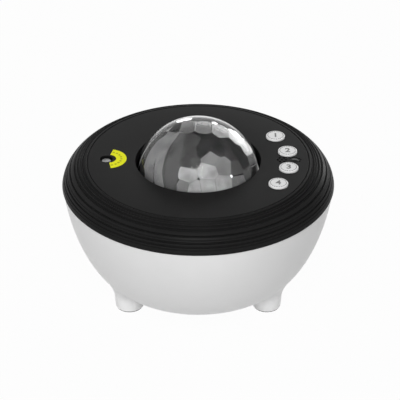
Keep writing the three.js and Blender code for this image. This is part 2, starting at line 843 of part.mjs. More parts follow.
function addRetainer() {
  const outer = domeFlangeRadius + retainer.rimWidth;
  const earRadius = retainer.bossRadius + retainer.earWall;
  const body = tube(retainerInner, outer, retainerBottom, retainerTop, sides.large);
  const ears = [];
  const holes = [];
  for (const angle of retainer.earAngles) {
    const place = polar(retainerCircleRadius, angle);
    ears.push(moved(disc(earRadius, retainerBottom, retainerTop), place));
    const hole = retainerScrew.shankRadius + slipGap;
    holes.push(moved(disc(hole, retainerBottom - overrun, retainerTop + overrun), place));
  }
  addPart('dome_retainer', cut(joined(body, ...ears), ...holes), 'greyPlastic');
  retainer.earAngles.forEach((angle, number) => {
    const [x, y] = polar(retainerCircleRadius, angle);
    const place = [x, y, retainerBottom - seatGap];
    addPart(`retainer_screw_${number + 1}`, screw(retainerScrew), 'steel', place);
  });
}

function pegPlaces() {
  const halfWidth = mainBoard.width / 2 - mainBoard.cornerInset;
  const halfDepth = mainBoard.depth / 2 - mainBoard.cornerInset;
  const { centreX, centreY } = mainBoard;
  return [
    [centreX - halfWidth, centreY - halfDepth, 0],
    [centreX + halfWidth, centreY - halfDepth, 0],
    [centreX - halfWidth, centreY + halfDepth, 0],
  ];
}

function addChassis() {
  const inPlate = plateBottom + chassis.plateThickness / 2;
  const plateRadius = radiusAt(bowlInside, plateBottom) - chassis.edgeGap;
  const collarInner = collarRadius - chassis.collarWall;
  const collarTop = plateTop + chassis.collarHeight;
  const laserSocketTop = plateTop + chassis.socketHeight;
  const through = [plateBottom - overrun, laserSocketTop + overrun];
  const pieces = [
    tube(collarInner, collarRadius, inPlate, collarTop, sides.large),
    moved(disc(laserSocketRadius, inPlate, laserSocketTop, sides.medium), laserPlace),
  ];
  const holes = [
    disc(chassis.lampHoleRadius, ...through, sides.medium),
    moved(disc(laser.radius + slipGap, ...through, sides.medium), laserPlace),
    moved(disc(lensMotor.hubRadius + slipGap, ...through), lensPinionPlace),
  ];
  for (const angle of chassis.wireHoleAngles) {
    holes.push(moved(disc(chassis.wireHoleRadius, ...through), polar(chassis.wireHoleCircleRadius, angle)));
  }
  const postBottom = bossTop + seatGap;
  const pilotTop = bossTop - foot.webThickness - seatGap + caseScrew.length + pilotDepth;
  for (const angle of foot.angles) {
    const place = polar(footCircleRadius, angle);
    pieces.push(moved(disc(chassis.postRadius, postBottom, inPlate), place));
    holes.push(moved(disc(caseScrew.shankRadius + threadGap, postBottom - overrun, pilotTop), place));
    const coverPlace = polar(coverCircleRadius, angle);
    holes.push(moved(disc(coverScrew.shankRadius + slipGap, ...through), coverPlace));
  }
  for (const place of pegPlaces()) {
    const pinBottom = mainBoardBottom - mainBoard.pinLength;
    pieces.push(moved(turned([
      [0, pinBottom],
      [mainBoard.pinRadius, pinBottom],
      [mainBoard.pinRadius, mainBoardTop + seatGap],
      [mainBoard.pegRadius, mainBoardTop + seatGap],
      [mainBoard.pegRadius, inPlate],
      [0, inPlate],
    ], sides.tiny), place));
  }
  const plate = disc(plateRadius, plateBottom, plateTop, sides.large);
  addPart('chassis', cut(joined(plate, ...pieces), ...holes), 'greyPlastic');
}

// The faceted lens: rows of corners on a ball, each row turned a little further round.
function lensRows(radius, bottom) {
  const lowest = Math.asin((bottom - domeCentre) / radius);
  return lensRowShares.map((share, row) => {
    const rise = lowest + (Math.PI / 2 - lowest) * share;
    const corners = [];
    for (let column = 0; column < lens.columns; column += 1) {
      const turn = (2 * Math.PI * column) / lens.columns + radians(lens.twist * row);
      const reach = radius * Math.cos(rise);
      corners.push([reach * Math.cos(turn), reach * Math.sin(turn), domeCentre + radius * Math.sin(rise)]);
    }
    return corners;
  });
}

function addLens() {
  const outer = lensRows(lens.radius, lensBottom);
  const inner = lensRows(lens.radius - lens.wall, lensBottom);
  const positions = [];
  const rings = [];
  const store = (corners) => {
    const start = positions.length / 3;
    corners.forEach((corner) => positions.push(...corner));
    rings.push(start);
  };
  const apexOf = (radius) => [0, 0, domeCentre + radius];
  inner.slice(0, -1).reverse().forEach(store);
  outer.slice(0, -1).forEach(store);
  const apexInner = positions.length / 3;
  positions.push(...apexOf(lens.radius - lens.wall), ...apexOf(lens.radius));
  const index = [];
  for (let column = 0; column < lens.columns; column += 1) {
    const next = (column + 1) % lens.columns;
    for (let row = 0; row < rings.length - 1; row += 1) {
      const [low, high] = [rings[row], rings[row + 1]];
      index.push(low + column, low + next, high + next);
      index.push(low + column, high + next, high + column);
    }
    const lastRing = rings[rings.length - 1];
    index.push(apexInner, rings[0] + next, rings[0] + column);
    index.push(apexInner + 1, lastRing + column, lastRing + next);
  }
  const geometry = new THREE.BufferGeometry();
  geometry.setAttribute('position', new THREE.Float32BufferAttribute(positions, 3));
  geometry.setIndex(index);
  addPart('ripple_lens', geometry, 'lensPlastic');
}

function addLensDrive() {
  const gearShape = gearOutline(lensModule, lensGear.teeth, lensGear.pinionAngle);
  const gear = slab(gearShape, carrierBottom, carrierFlangeUnderside);
  const flangeRadius = retainerInner + carrier.flangeOverlap;
  const flange = disc(flangeRadius, carrierFlangeUnderside - seatGap, carrierTop, sides.large);
  const bore = disc(collarRadius + runGap, carrierBottom - overrun, carrierTop + overrun, sides.large);
  addPart('lens_carrier', cut(joined(gear, flange), bore), 'whitePlastic');
  const pinionTop = carrierFlangeUnderside - seatGap - runGap;
  const pinionBore = lensMotor.shaftRadius + threadGap;
  const pinion = pinionOf(lensModule, lensGear, carrierBottom, pinionTop, pinionBore);
  addPart('lens_pinion', pinion, 'whitePlastic', lensPinionPlace);
  const motorTop = plateBottom - seatGap;
  const motorBottom = motorTop - lensMotor.length;
  const shaftBottom = motorTop - lensMotor.length / 2;
  const motor = joined(
    disc(lensMotor.radius, motorBottom, motorTop, sides.medium),
    disc(lensMotor.hubRadius, motorTop - overrun, motorTop + lensMotor.hubHeight),
  );
  const shaftHole = disc(lensMotor.shaftRadius + threadGap, shaftBottom - slipGap, plateTop);
  addPart('lens_motor', cut(motor, shaftHole), 'steel', lensPinionPlace);
  const shaft = disc(lensMotor.shaftRadius, shaftBottom, pinionTop);
  addPart('lens_motor_shaft', shaft, 'steel', lensPinionPlace);
}

function addLamps() {
  const pitch = (2 * heatSink.radius) / heatSink.finCount;
  const fins = [];
  for (let fin = 0; fin < heatSink.finCount; fin += 1) {
    const across = (fin - (heatSink.finCount - 1) / 2) * pitch;
    const chord = 2 * Math.sqrt(heatSink.radius ** 2 - across ** 2);
    const width = chord * Math.cos(Math.PI / sides.medium) - slipGap;
    const shape = block(width, heatSink.finThickness, finBottom, heatSinkBottom + seatGap);
    fins.push(shape.translate(0, across, 0));
  }
  const plate = disc(heatSink.radius, heatSinkBottom, heatSinkTop, sides.medium);
  addPart('heat_sink', joined(plate, ...fins), 'aluminium');
  const boardRadius = chassis.lampHoleRadius - ledBoard.edgeGap;
  const boardTop = plateBottom + ledBoard.thickness;
  addPart('led_board', disc(boardRadius, plateBottom, boardTop, sides.medium), 'aluminium');
  const ledOutline = [
    [0, 0],
    [led.radius, 0],
    [led.radius, led.baseHeight],
    ...arcPoints(led.lensRadius, led.baseHeight, 0, 90, 2),
  ];
  for (let number = 0; number < led.count; number += 1) {
    const [x, y] = polar(led.circleRadius, (360 * number) / led.count);
    const place = [x, y, boardTop + seatGap];
    addPart(`led_${number + 1}`, turned(onAxis(ledOutline), sides.tiny), 'ledResin', place);
  }
}

function addLaser() {
  const windowTop = panelHeight - laser.windowDepth;
  const windowBottom = windowTop - laser.windowThickness;
  const bezelTop = windowTop - seatGap;
  const flangeTop = panelUnderside - seatGap;
  const flangeBottom = flangeTop - laser.bezelFlangeThickness;
  const throat = laser.windowRadius - laser.bezelLedge;
  const bezelBottom = gratingTop + grating.discThickness + runGap;
  addPart('laser_bezel', turned([
    [throat, bezelBottom],
    [laser.bezelFlange - laser.bezelWall, bezelBottom],
    [laser.bezelFlange, flangeBottom],
    [laser.bezelFlange, flangeTop],
    [bezelRadius, flangeTop],
    [bezelRadius, bezelTop],
    [windowSeatRadius, bezelTop],
    [windowSeatRadius, windowBottom - seatGap],
    [throat, windowBottom - seatGap],
  ], sides.medium), 'blackPlastic', laserPlace);
  const pane = disc(laser.windowRadius, windowBottom, windowTop, sides.medium);
  addPart('laser_window', pane, 'frostedGlass', laserPlace);
  const moduleFlangeTop = plateBottom - seatGap;
  const moduleFlangeBottom = moduleFlangeTop - laser.flangeThickness;
  const moduleBottom = laserShoulder - laser.length;
  const noseTop = laserShoulder + laser.noseHeight;
  addPart('laser_module', turned([
    [0, moduleBottom],
    [laser.radius, moduleBottom],
    [laser.radius, moduleFlangeBottom],
    [laser.flangeRadius, moduleFlangeBottom],
    [laser.flangeRadius, moduleFlangeTop],
    [laser.radius, moduleFlangeTop],
    [laser.radius, laserShoulder],
    [laser.noseRadius, laserShoulder],
    [laser.noseRadius, noseTop],
    [laser.beamRadius, noseTop],
    [laser.beamRadius, noseTop - laser.beamDepth],
    [0, noseTop - laser.beamDepth],
  ], sides.medium), 'brass', laserPlace);
}

function addGrating() {
  const gearShape = gearOutline(gratingModule, grating.teeth, grating.pinionAngle);
  const gear = slab(gearShape, gratingBottom, gratingTop);
  const bore = disc(laser.noseRadius + runGap, gratingBottom - overrun, gratingTop + overrun, sides.medium);
  addPart('grating_wheel', cut(gear, bore), 'whitePlastic', laserPlace);
  const pane = disc(grating.discRadius, gratingTop, gratingTop + grating.discThickness, sides.medium);
  addPart('grating_disc', pane, 'clearPlastic', laserPlace);
  const pinionBore = gratingMotor.shaftRadius + threadGap;
  const pinion = pinionOf(gratingModule, grating, gratingBottom, gratingTop, pinionBore);
  addPart('grating_pinion', pinion, 'whitePlastic', gratingPinionPlace);
  const motorBottom = plateTop + seatGap;
  const motorTop = gratingBottom - gratingMotor.headroom;
  const shaftBottom = (motorBottom + motorTop) / 2;
  const motor = disc(gratingMotor.radius, motorBottom, motorTop, sides.small);
  const shaftHole = disc(pinionBore, shaftBottom - slipGap, motorTop + overrun, sides.tiny);
  addPart('grating_motor', cut(motor, shaftHole), 'steel', gratingPinionPlace);
  const shaft = disc(gratingMotor.shaftRadius, shaftBottom, gratingTop, sides.tiny);
  addPart('grating_motor_shaft', shaft, 'steel', gratingPinionPlace);
}

function addDecal() {
  const shape = new THREE.Shape();
  shape.absarc(0, 0, decal.outerRadius, radians(decal.fromAngle), radians(decal.toAngle), false);
  shape.absarc(0, 0, decal.innerRadius, radians(decal.toAngle), radians(decal.fromAngle), true);
  const place = [laserPlace[0] + decal.offset, laserPlace[1], 0];
  const plate = slab(shape, panelHeight, panelHeight + decal.thickness, decal.sides);
  addPart('aperture_decal', plate, 'arcYellow', place);
}

function buttonGeometry() {
  const top = panelHeight + button.proud;
  const rimOuter = button.radius - button.rimInset;
  const rimInner = rimOuter - button.rimWidth;
  const flangeRadius = button.radius + button.flangeWidth;
  return turned([
    [0, stemBottom],
    [button.stemRadius, stemBottom],
    [button.stemRadius, buttonFlangeBottom],
    [flangeRadius, buttonFlangeBottom],
    [flangeRadius, buttonFlangeTop],
    [button.radius, buttonFlangeTop],
    [button.radius, top - button.edgeRound],
    [button.radius - button.edgeRound, top],
    [rimOuter, top],
    [rimOuter, top + button.rimHeight],
    [rimInner, top + button.rimHeight],
    [rimInner, top],
    [0, top],
  ], sides.small);
}

function addButtons() {
  const plungerBottom = tactTop - tact.boreDepth + button.travel + runGap;
  buttonAngles.forEach((angle, number) => {
    const place = polar(buttonCircleRadius, angle);
    const label = number + 1;
    addPart(`button_${label}`, buttonGeometry(), 'whitePlastic', place);
    const plunger = disc(tact.plungerRadius, plungerBottom, plungerTop, sides.tiny);
    addPart(`switch_plunger_${label}`, plunger, 'blackPlastic', place);
    const boreRadius = tact.plungerRadius + slipGap;
    const bore = disc(boreRadius, tactTop - tact.boreDepth, tactTop + overrun, sides.tiny);
    const body = cut(block(tact.width, tact.width, tactBottom, tactTop), bore);
    addPart(`switch_${label}`, body, 'blackPlastic', place, radians(angle));
  });
}

function addButtonBoard() {
  const inner = buttonCircleRadius - buttonBoard.innerWidth;
  const outer = buttonCircleRadius + buttonBoard.outerWidth;
  const half = radians((button.count / 2) * buttonStep);
  const shape = new THREE.Shape();
  shape.absarc(0, 0, outer, -half, half, false);
  shape.absarc(0, 0, inner, half, -half, true);
  const boardBottom = buttonBoardTop - buttonBoard.thickness;
  const holes = stakePlaces().map((place) => {
    const hole = disc(buttonBoard.pinRadius + slipGap, boardBottom - overrun, buttonBoardTop + overrun);
    return moved(hole, place);
  });
  const body = slab(shape, boardBottom, buttonBoardTop, buttonBoard.arcSteps);
  addPart('button_board', cut(body, ...holes), 'boardGreen');
  const flangeTop = panelUnderside - seatGap;
  const flangeBottom = flangeTop - infrared.flangeThickness;
  const flangeRadius = infrared.windowRadius + infrared.flangeWidth;
  addPart('ir_window', turned([
    [0, flangeBottom],
    [flangeRadius, flangeBottom],
    [flangeRadius, flangeTop],
    [infrared.windowRadius, flangeTop],
    [infrared.windowRadius, panelHeight - infrared.bulge / 2],
    [infrared.windowRadius * infrared.shoulderShare, panelHeight + infrared.bulge / 4],
    [0, panelHeight + infrared.bulge / 2],
  ], sides.small), 'darkGlass', infraredPlace);
  const receiverBottom = buttonBoardTop + seatGap;
  const receiver = block(infrared.depth, infrared.width, receiverBottom, receiverBottom + infrared.height);
  addPart('ir_receiver', receiver, 'darkGlass', infraredPlace);
  const capsule = disc(microphone.radius, receiverBottom, receiverBottom + microphone.height);
  addPart('microphone', capsule, 'aluminium', rosettePlace);
}

function addMainBoard() {
  const { width, depth, thickness, centreX, centreY } = mainBoard;
  const plate = block(width, depth, mainBoardBottom, mainBoardTop).translate(centreX, centreY, 0);
  const chips = chipSizes.map(([across, along, height], number) => {
    const [shareX, shareY] = chipPlaceShares[number];
    const chip = block(across, along, mainBoardTop - thickness / 2, mainBoardTop + height);
    return chip.translate(centreX + shareX * width, centreY + shareY * depth, 0);
  });
  const holeRadius = mainBoard.pinRadius + slipGap;
  const holes = pegPlaces().map((place) => {
    return moved(disc(holeRadius, mainBoardBottom - overrun, mainBoardTop + overrun, sides.tiny), place);
  });
  addPart('main_board', cut(joined(plate, ...chips), ...holes), 'boardGreen');
}

function addSocket() {
  const noseFront = recessFloor - seatGap;
  const bodyFront = socketFront - seatGap;
  const boreBack = noseFront - socket.boreDepth;
  const body = joined(
    rearBlock(socket.bodyWidth, bodyFront - socket.bodyLength, bodyFront),
    rearCylinder(socket.noseRadius, bodyFront - overrun, noseFront),
  );
  const bored = cut(body, rearCylinder(socket.boreRadius, boreBack, noseFront + overrun));
  const pin = rearCylinder(socket.pinRadius, boreBack - overrun, noseFront - socket.pinShort, sides.tiny);
  addPart('power_socket', joined(bored, pin), 'darkGlass');
}

function addSpeaker() {
  const flangeTop = speakerBottom + speaker.flangeThickness;
  const mouthRadius = speaker.flangeRadius - speaker.flangeWidth;
  const backBottom = speakerTop - speaker.basketWall;
  const coilOuter = speaker.coilRadius + speaker.coilWall;
  const coilHole = coilOuter + slipGap;
  addPart('speaker_frame', turned([
    [mouthRadius, speakerBottom],
    [speaker.flangeRadius, speakerBottom],
    [speaker.flangeRadius, flangeTop],
    [mouthRadius + speaker.basketWall, flangeTop],
    [speaker.backRadius, speakerTop],
    [coilHole, speakerTop],
    [coilHole, backBottom],
    [speaker.backRadius - speaker.basketWall, backBottom],
    [mouthRadius, flangeTop],
  ], sides.medium), 'steel');
  const throatRadius = coilOuter + speaker.throatWidth;
  const coneEdge = mouthRadius - runGap;
  const coneBottom = floorTop + speaker.travel + slipGap;
  const coneTop = backBottom - speaker.travel - runGap - speaker.coneWall;
  const coilTop = speakerTop + speaker.coilRise;
  addPart('speaker_cone', turned([
    [0, coneTop - speaker.coneWall],
    [throatRadius, coneTop - speaker.coneWall],
    [coneEdge - speaker.coneWall, coneBottom],
    [coneEdge, coneBottom],
    [coneEdge, coneBottom + speaker.coneWall / 2],
    [throatRadius, coneTop],
    [coilOuter, coneTop],
    [coilOuter, coilTop],
    [speaker.coilRadius, coilTop],
    [speaker.coilRadius, coneTop],
    [0, coneTop],
  ], sides.medium), 'paper');
  const grooveTop = coilTop + speaker.travel + runGap;
  addPart('speaker_magnet', turned([
    [0, magnetBottom],
    [speaker.coilRadius - slipGap, magnetBottom],
    [speaker.coilRadius - slipGap, grooveTop],
    [coilHole, grooveTop],
    [coilHole, magnetBottom],
    [speaker.magnetRadius, magnetBottom],
    [speaker.magnetRadius, magnetTop],
    [0, magnetTop],
  ], sides.medium), 'steel');
}

addBowl();
addFeet();
addCoverRing();
addTopPanel();
addDome();
addRetainer();
addChassis();
addLens();
addLensDrive();
addLamps();
addLaser();
addGrating();
addDecal();
addButtons();
addButtonBoard();
addMainBoard();
addSocket();
addSpeaker();

export default projector;
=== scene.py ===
import bisect
import math

import bmesh
import bpy
from mathutils import Matrix, Vector


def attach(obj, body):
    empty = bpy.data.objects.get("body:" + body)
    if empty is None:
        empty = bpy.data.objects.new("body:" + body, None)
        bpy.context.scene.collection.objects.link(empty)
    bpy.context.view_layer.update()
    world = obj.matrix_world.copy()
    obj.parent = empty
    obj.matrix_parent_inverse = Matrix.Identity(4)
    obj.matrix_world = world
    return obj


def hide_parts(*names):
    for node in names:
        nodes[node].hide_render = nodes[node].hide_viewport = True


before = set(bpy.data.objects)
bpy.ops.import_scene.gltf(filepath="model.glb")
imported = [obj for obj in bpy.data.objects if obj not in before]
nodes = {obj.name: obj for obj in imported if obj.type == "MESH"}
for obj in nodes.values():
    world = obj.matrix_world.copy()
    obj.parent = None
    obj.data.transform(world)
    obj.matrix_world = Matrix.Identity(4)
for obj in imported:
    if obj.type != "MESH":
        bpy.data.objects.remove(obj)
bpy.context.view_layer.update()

mm = 0.001
overrun = 1  # mm that a cutter reaches past what it cuts
print("frame loaded:", len(nodes), "nodes")


def newObject(name, data):
    thing = bpy.data.objects.new(name, data)
    bpy.context.collection.objects.link(thing)
    return thing


# Camera and light

camera = {
    "aim": (1.1, 0.0, 61.3),  # mm, seen in the middle of the picture
    "distance": 1276,
    "elevation": 31.7,
    "lens": 186.9,
    "sensor": 36,
    "clip": 20,  # metres
}


def cameraWay():
    # the way from the object to the camera
    rise = math.radians(camera["elevation"])
    return Vector((0, -math.cos(rise), math.sin(rise)))


def placeCamera():
    data = bpy.data.cameras.new("camera")
    data.lens = camera["lens"]
    data.sensor_width = camera["sensor"]
    data.clip_end = camera["clip"]
    viewer = newObject("camera", data)
    rise = math.radians(camera["elevation"])
    aim = Vector(camera["aim"]) * mm
    viewer.location = aim + cameraWay() * camera["distance"] * mm
    viewer.rotation_euler = (math.pi / 2 - rise, 0, 0)
    bpy.context.scene.camera = viewer
    bpy.context.scene.view_settings.view_transform = "Standard"


softBoxes = {  # place and size in metres, power in watts
    "frontBox": {"place": (-0.1, -1.5, 1.5), "size": (0.9, 0.8), "power": 23.5},
    "lowBox": {"place": (-0.3, -1.7, 0.2), "size": (1.2, 0.2), "power": 5.5},
    "rightBox": {"place": (0.85, 1.3, 0.3), "size": (0.6, 0.5), "power": 4},
    "leftBox": {"place": (-1.3, 0.3, 0.7), "size": (0.4, 0.8), "power": 1.5},
    "backBox": {"place": (0.35, 1.5, 0.9), "size": (1.0, 0.4), "power": 3},
}
lightAim = (0, 0, 0.06)  # metres, about the middle of the projector


def placeLights():
    for name, box in softBoxes.items():
        data = bpy.data.lights.new(name, "AREA")
        data.shape = "RECTANGLE"
        data.size, data.size_y = box["size"]
        data.energy = box["power"]
        lamp = newObject(name, data)
        lamp.location = box["place"]
        toward = Vector(lightAim) - lamp.location
        lamp.rotation_euler = toward.to_track_quat("-Z", "Y").to_euler()


def seenRays(tree):
    # one for what the camera sees, straight, mirrored or through the dome
    path = tree.nodes.new("ShaderNodeLightPath")
    seen = path.outputs["Is Camera Ray"]
    for kind in ("Is Glossy Ray", "Is Transmission Ray"):
        either = tree.nodes.new("ShaderNodeMath")
        either.operation = "MAXIMUM"
        tree.links.new(seen, either.inputs[0])
        tree.links.new(path.outputs[kind], either.inputs[1])
        seen = either.outputs[0]
    return seen


studio = {"fill": 0.25, "floorSize": 6.0, "floorGlow": 0.97, "floorGrey": 0.55, "floorRough": 0.9}


def makeStudio():
    world = bpy.data.worlds.new("studio")
    bpy.context.scene.world = world
    world.use_nodes = True
    tree = world.node_tree
    fill = tree.nodes["Background"]
    fill.inputs["Color"].default_value = (1, 1, 1, 1)
    fill.inputs["Strength"].default_value = studio["fill"]
    seen = tree.nodes.new("ShaderNodeBackground")
    seen.inputs["Color"].default_value = (1, 1, 1, 1)
    mix = tree.nodes.new("ShaderNodeMixShader")
    tree.links.new(seenRays(tree), mix.inputs["Fac"])
    tree.links.new(fill.outputs[0], mix.inputs[1])
    tree.links.new(seen.outputs[0], mix.inputs[2])
    tree.links.new(mix.outputs[0], tree.nodes["World Output"].inputs["Surface"])

    half = studio["floorSize"] / 2
    mesh = bpy.data.meshes.new("floor")
    corners = [(-half, -half, 0), (half, -half, 0), (half, half, 0), (-half, half, 0)]
    mesh.from_pydata(corners, [], [(0, 1, 2, 3)])
    floor = newObject("floor", mesh)
    paper = bpy.data.materials.new("whiteFloor")
    paper.use_nodes = True
    tree = paper.node_tree
    principled = tree.nodes["Principled BSDF"]
    principled.inputs["Base Color"].default_value = (*grey(studio["floorGrey"]), 1)
    principled.inputs["Roughness"].default_value = studio["floorRough"]
    glow = tree.nodes.new("ShaderNodeEmission")
    lit = tree.nodes.new("ShaderNodeMath")
    lit.operation = "MULTIPLY"
    lit.inputs[1].default_value = studio["floorGlow"]
    tree.links.new(seenRays(tree), lit.inputs[0])
    mix = tree.nodes.new("ShaderNodeMixShader")
    tree.links.new(lit.outputs[0], mix.inputs["Fac"])
    tree.links.new(principled.outputs[0], mix.inputs[1])
    tree.links.new(glow.outputs[0], mix.inputs[2])
    tree.links.new(mix.outputs[0], tree.nodes["Material Output"].inputs["Surface"])
    mesh.materials.append(paper)


# Materials


def newMaterial(name):
    material = bpy.data.materials.new(name)
    material.use_nodes = True
    return material, material.node_tree, material.node_tree.nodes["Principled BSDF"]


def grey(value):
    return (value, value, value)


def objectPlace(tree):
    return tree.nodes.new("ShaderNodeTexCoord").outputs["Object"]


def noiseAt(tree, scale, detail=3.0):
    noise = tree.nodes.new("ShaderNodeTexNoise")
    noise.inputs["Scale"].default_value = scale
    noise.inputs["Detail"].default_value = detail
    tree.links.new(objectPlace(tree), noise.inputs["Vector"])
    return noise.outputs["Fac"]


def stopsFrom(tree, factor, stops):
    # a colour ramp with any number of stops, each a position and a colour
    ramp = tree.nodes.new("ShaderNodeValToRGB")
    first, last = ramp.color_ramp.elements
    first.position, first.color = stops[0][0], (*stops[0][1], 1)
    last.position, last.color = stops[-1][0], (*stops[-1][1], 1)
    for position, colour in stops[1:-1]:
        ramp.color_ramp.elements.new(position).color = (*colour, 1)
    tree.links.new(factor, ramp.inputs["Fac"])
    return ramp.outputs["Color"]


def rampFrom(tree, factor, low, high, start=0.3, end=0.7):
    return stopsFrom(tree, factor, ((start, low), (end, high)))


def greyStops(tree, factor, stops):
    return stopsFrom(tree, factor, [(position, grey(value)) for position, value in stops])


def mapped(tree, value, start, end, low=0.0, high=1.0):
    spread = tree.nodes.new("ShaderNodeMapRange")
    spread.inputs["From Min"].default_value = start
    spread.inputs["From Max"].default_value = end
    spread.inputs["To Min"].default_value = low
    spread.inputs["To Max"].default_value = high
    tree.links.new(value, spread.inputs["Value"])
    return spread.outputs["Result"]


def roughFrom(tree, shader, factor, rough):
    # roughness that wanders between two values
    tree.links.new(mapped(tree, factor, 0.3, 0.7, *rough), shader.inputs["Roughness"])


def bumpFrom(tree, shader, height, depth, strength):
    bump = tree.nodes.new("ShaderNodeBump")
    bump.inputs["Distance"].default_value = depth * mm
    bump.inputs["Strength"].default_value = strength
    tree.links.new(height, bump.inputs["Height"])
    tree.links.new(bump.outputs["Normal"], shader.inputs["Normal"])


def moulded(name, low, high, rough, specular, grain, depth, mottle):
    # fine grain as bump and roughness, and a broad mottle in colour
    material, tree, shader = newMaterial(name)
    fine = noiseAt(tree, grain)
    tree.links.new(rampFrom(tree, noiseAt(tree, mottle, 4), low, high), shader.inputs["Base Color"])
    roughFrom(tree, shader, fine, rough)
    shader.inputs["Specular IOR Level"].default_value = specular
    bumpFrom(tree, shader, fine, depth, 0.5)
    return material


def clearPlastic(name, tint, rough, ior):
    material, tree, shader = newMaterial(name)
    shader.inputs["Base Color"].default_value = (*tint, 1)
    shader.inputs["Transmission Weight"].default_value = 1
    shader.inputs["IOR"].default_value = ior
    roughFrom(tree, shader, noiseAt(tree, 140, 5), rough)
    bumpFrom(tree, shader, noiseAt(tree, 45), 0.004, 0.15)
    return material


def lensSurface(tree, shader, rough):
    # patches of roughness, and the faint waves of the moulding
    roughFrom(tree, shader, noiseAt(tree, 240), rough)
    bumpFrom(tree, shader, noiseAt(tree, 60, 1), 0.12, 0.3)


def facetPlastic(name, low, high, rough, paintedGlow):
    # one tone of the faceted lens, drifting between two shades: a painted reflection and shade, and where it
    # glows a painted glint
    material, tree, shader = newMaterial(name)
    tree.links.new(rampFrom(tree, noiseAt(tree, 75, 2), low, high, 0.4, 0.6), shader.inputs["Base Color"])
    shader.inputs["Specular IOR Level"].default_value = 0.02
    shader.inputs["Emission Strength"].default_value = paintedGlow
    lensSurface(tree, shader, rough)
    return material


paintedBand = {  # painted reflection and a painted highlight line on the band: near and far as shares of the lens's radius before and behind its middle, and stops between them
    "near": 0.6,
    "far": 0.3,
    "paintedShades": ((0, 0.1), (0.28, 0.22), (0.42, 0.36), (0.72, 0.36), (0.85, 0.12)),
    "paintedLine": ((0.3, 0), (0.4, 0.12), (0.45, 1), (0.7, 1), (0.74, 0)),
    "slant": ((0.5, 0), (0.62, 1)),
    "glow": 0.8,
}


def bandPlastic(name, rough):
    # the bright cells along the top of the lens: a painted reflection, grey in front and lighter behind,
    # fixed to the lens
    material, tree, shader = newMaterial(name)
    toward = tree.nodes.new("ShaderNodeVectorMath")
    toward.operation = "DOT_PRODUCT"
    toward.inputs[1].default_value = cameraWay()
    tree.links.new(objectPlace(tree), toward.inputs[0])
    middle = dome["centre"] * mm * cameraWay().z
    near = middle + paintedBand["near"] * lens["radius"] * mm
    far = middle - paintedBand["far"] * lens["radius"] * mm
    outward = mapped(tree, toward.outputs["Value"], near, far)
    tree.links.new(greyStops(tree, outward, paintedBand["paintedShades"]), shader.inputs["Base Color"])
    # the white line behind them is a painted highlight that glows, and a Layer Weight ramp turns it off
    # where a facet is seen face on
    slant = tree.nodes.new("ShaderNodeLayerWeight")
    lit = tree.nodes.new("ShaderNodeVectorMath")
    lit.operation = "MULTIPLY"
    tree.links.new(greyStops(tree, outward, paintedBand["paintedLine"]), lit.inputs[0])
    tree.links.new(greyStops(tree, slant.outputs["Facing"], paintedBand["slant"]), lit.inputs[1])
    tree.links.new(lit.outputs["Vector"], shader.inputs["Emission Color"])
    # the glow of the painted highlight line
    shader.inputs["Emission Strength"].default_value = paintedBand["glow"]
    shader.inputs["Specular IOR Level"].default_value = 0.1
    shader.inputs["Metallic"].default_value = 0.8
    lensSurface(tree, shader, rough)
    return material


def boardLacquer(name):
    # solder mask with lighter tracks under it
    material, tree, shader = newMaterial(name)
    tracks = tree.nodes.new("ShaderNodeTexBrick")
    tracks.inputs["Scale"].default_value = 420
    tracks.inputs["Color1"].default_value = (0.015, 0.12, 0.05, 1)
    tracks.inputs["Color2"].default_value = (0.02, 0.16, 0.07, 1)
    tracks.inputs["Mortar"].default_value = (0.05, 0.26, 0.12, 1)
    tree.links.new(objectPlace(tree), tracks.inputs["Vector"])
    tree.links.new(tracks.outputs["Color"], shader.inputs["Base Color"])
    roughFrom(tree, shader, noiseAt(tree, 700), (0.25, 0.4))
    bumpFrom(tree, shader, tracks.outputs["Fac"], 0.03, 0.6)
    return material


def bowlPlastic(name):
    # the housing's white, with painted light that makes it a little lighter toward the feet
    mottle = 24
    material = moulded(name, grey(0.79), grey(0.82), (0.3, 0.38), 0.4, 1400, 0.008, mottle)
    tree = material.node_tree
    shader = tree.nodes["Principled BSDF"]
    parts = tree.nodes.new("ShaderNodeSeparateXYZ")
    tree.links.new(objectPlace(tree), parts.inputs["Vector"])
    blend = tree.nodes.new("ShaderNodeMix")
    blend.data_type = "RGBA"
    # painted light: the white turns lighter below these heights, where the feet stand
    lower = mapped(tree, parts.outputs["Z"], bowl["paintedLightFrom"] * mm, bowl["paintedLightFullAt"] * mm)
    tree.links.new(lower, blend.inputs[0])
    upperTone = shader.inputs["Base Color"].links[0].from_socket
    tree.links.new(upperTone, blend.inputs[6])
    tree.links.new(rampFrom(tree, noiseAt(tree, mottle, 4), grey(0.93), grey(0.95)), blend.inputs[7])
    tree.links.new(blend.outputs[2], shader.inputs["Base Color"])
    return material


def turnedMetal(name, low, high, rough):
    # fine rings from turning, seen as bump and as bands of roughness
    material, tree, shader = newMaterial(name)
    rings = tree.nodes.new("ShaderNodeTexWave")
    rings.bands_direction = "Z"
    rings.inputs["Scale"].default_value = 900
    rings.inputs["Distortion"].default_value = 1.5
    tree.links.new(objectPlace(tree), rings.inputs["Vector"])
    tree.links.new(rampFrom(tree, noiseAt(tree, 220), low, high), shader.inputs["Base Color"])
    roughFrom(tree, shader, rings.outputs["Fac"], rough)
    shader.inputs["Metallic"].default_value = 1
    bumpFrom(tree, shader, rings.outputs["Fac"], 0.01, 0.4)
    return material


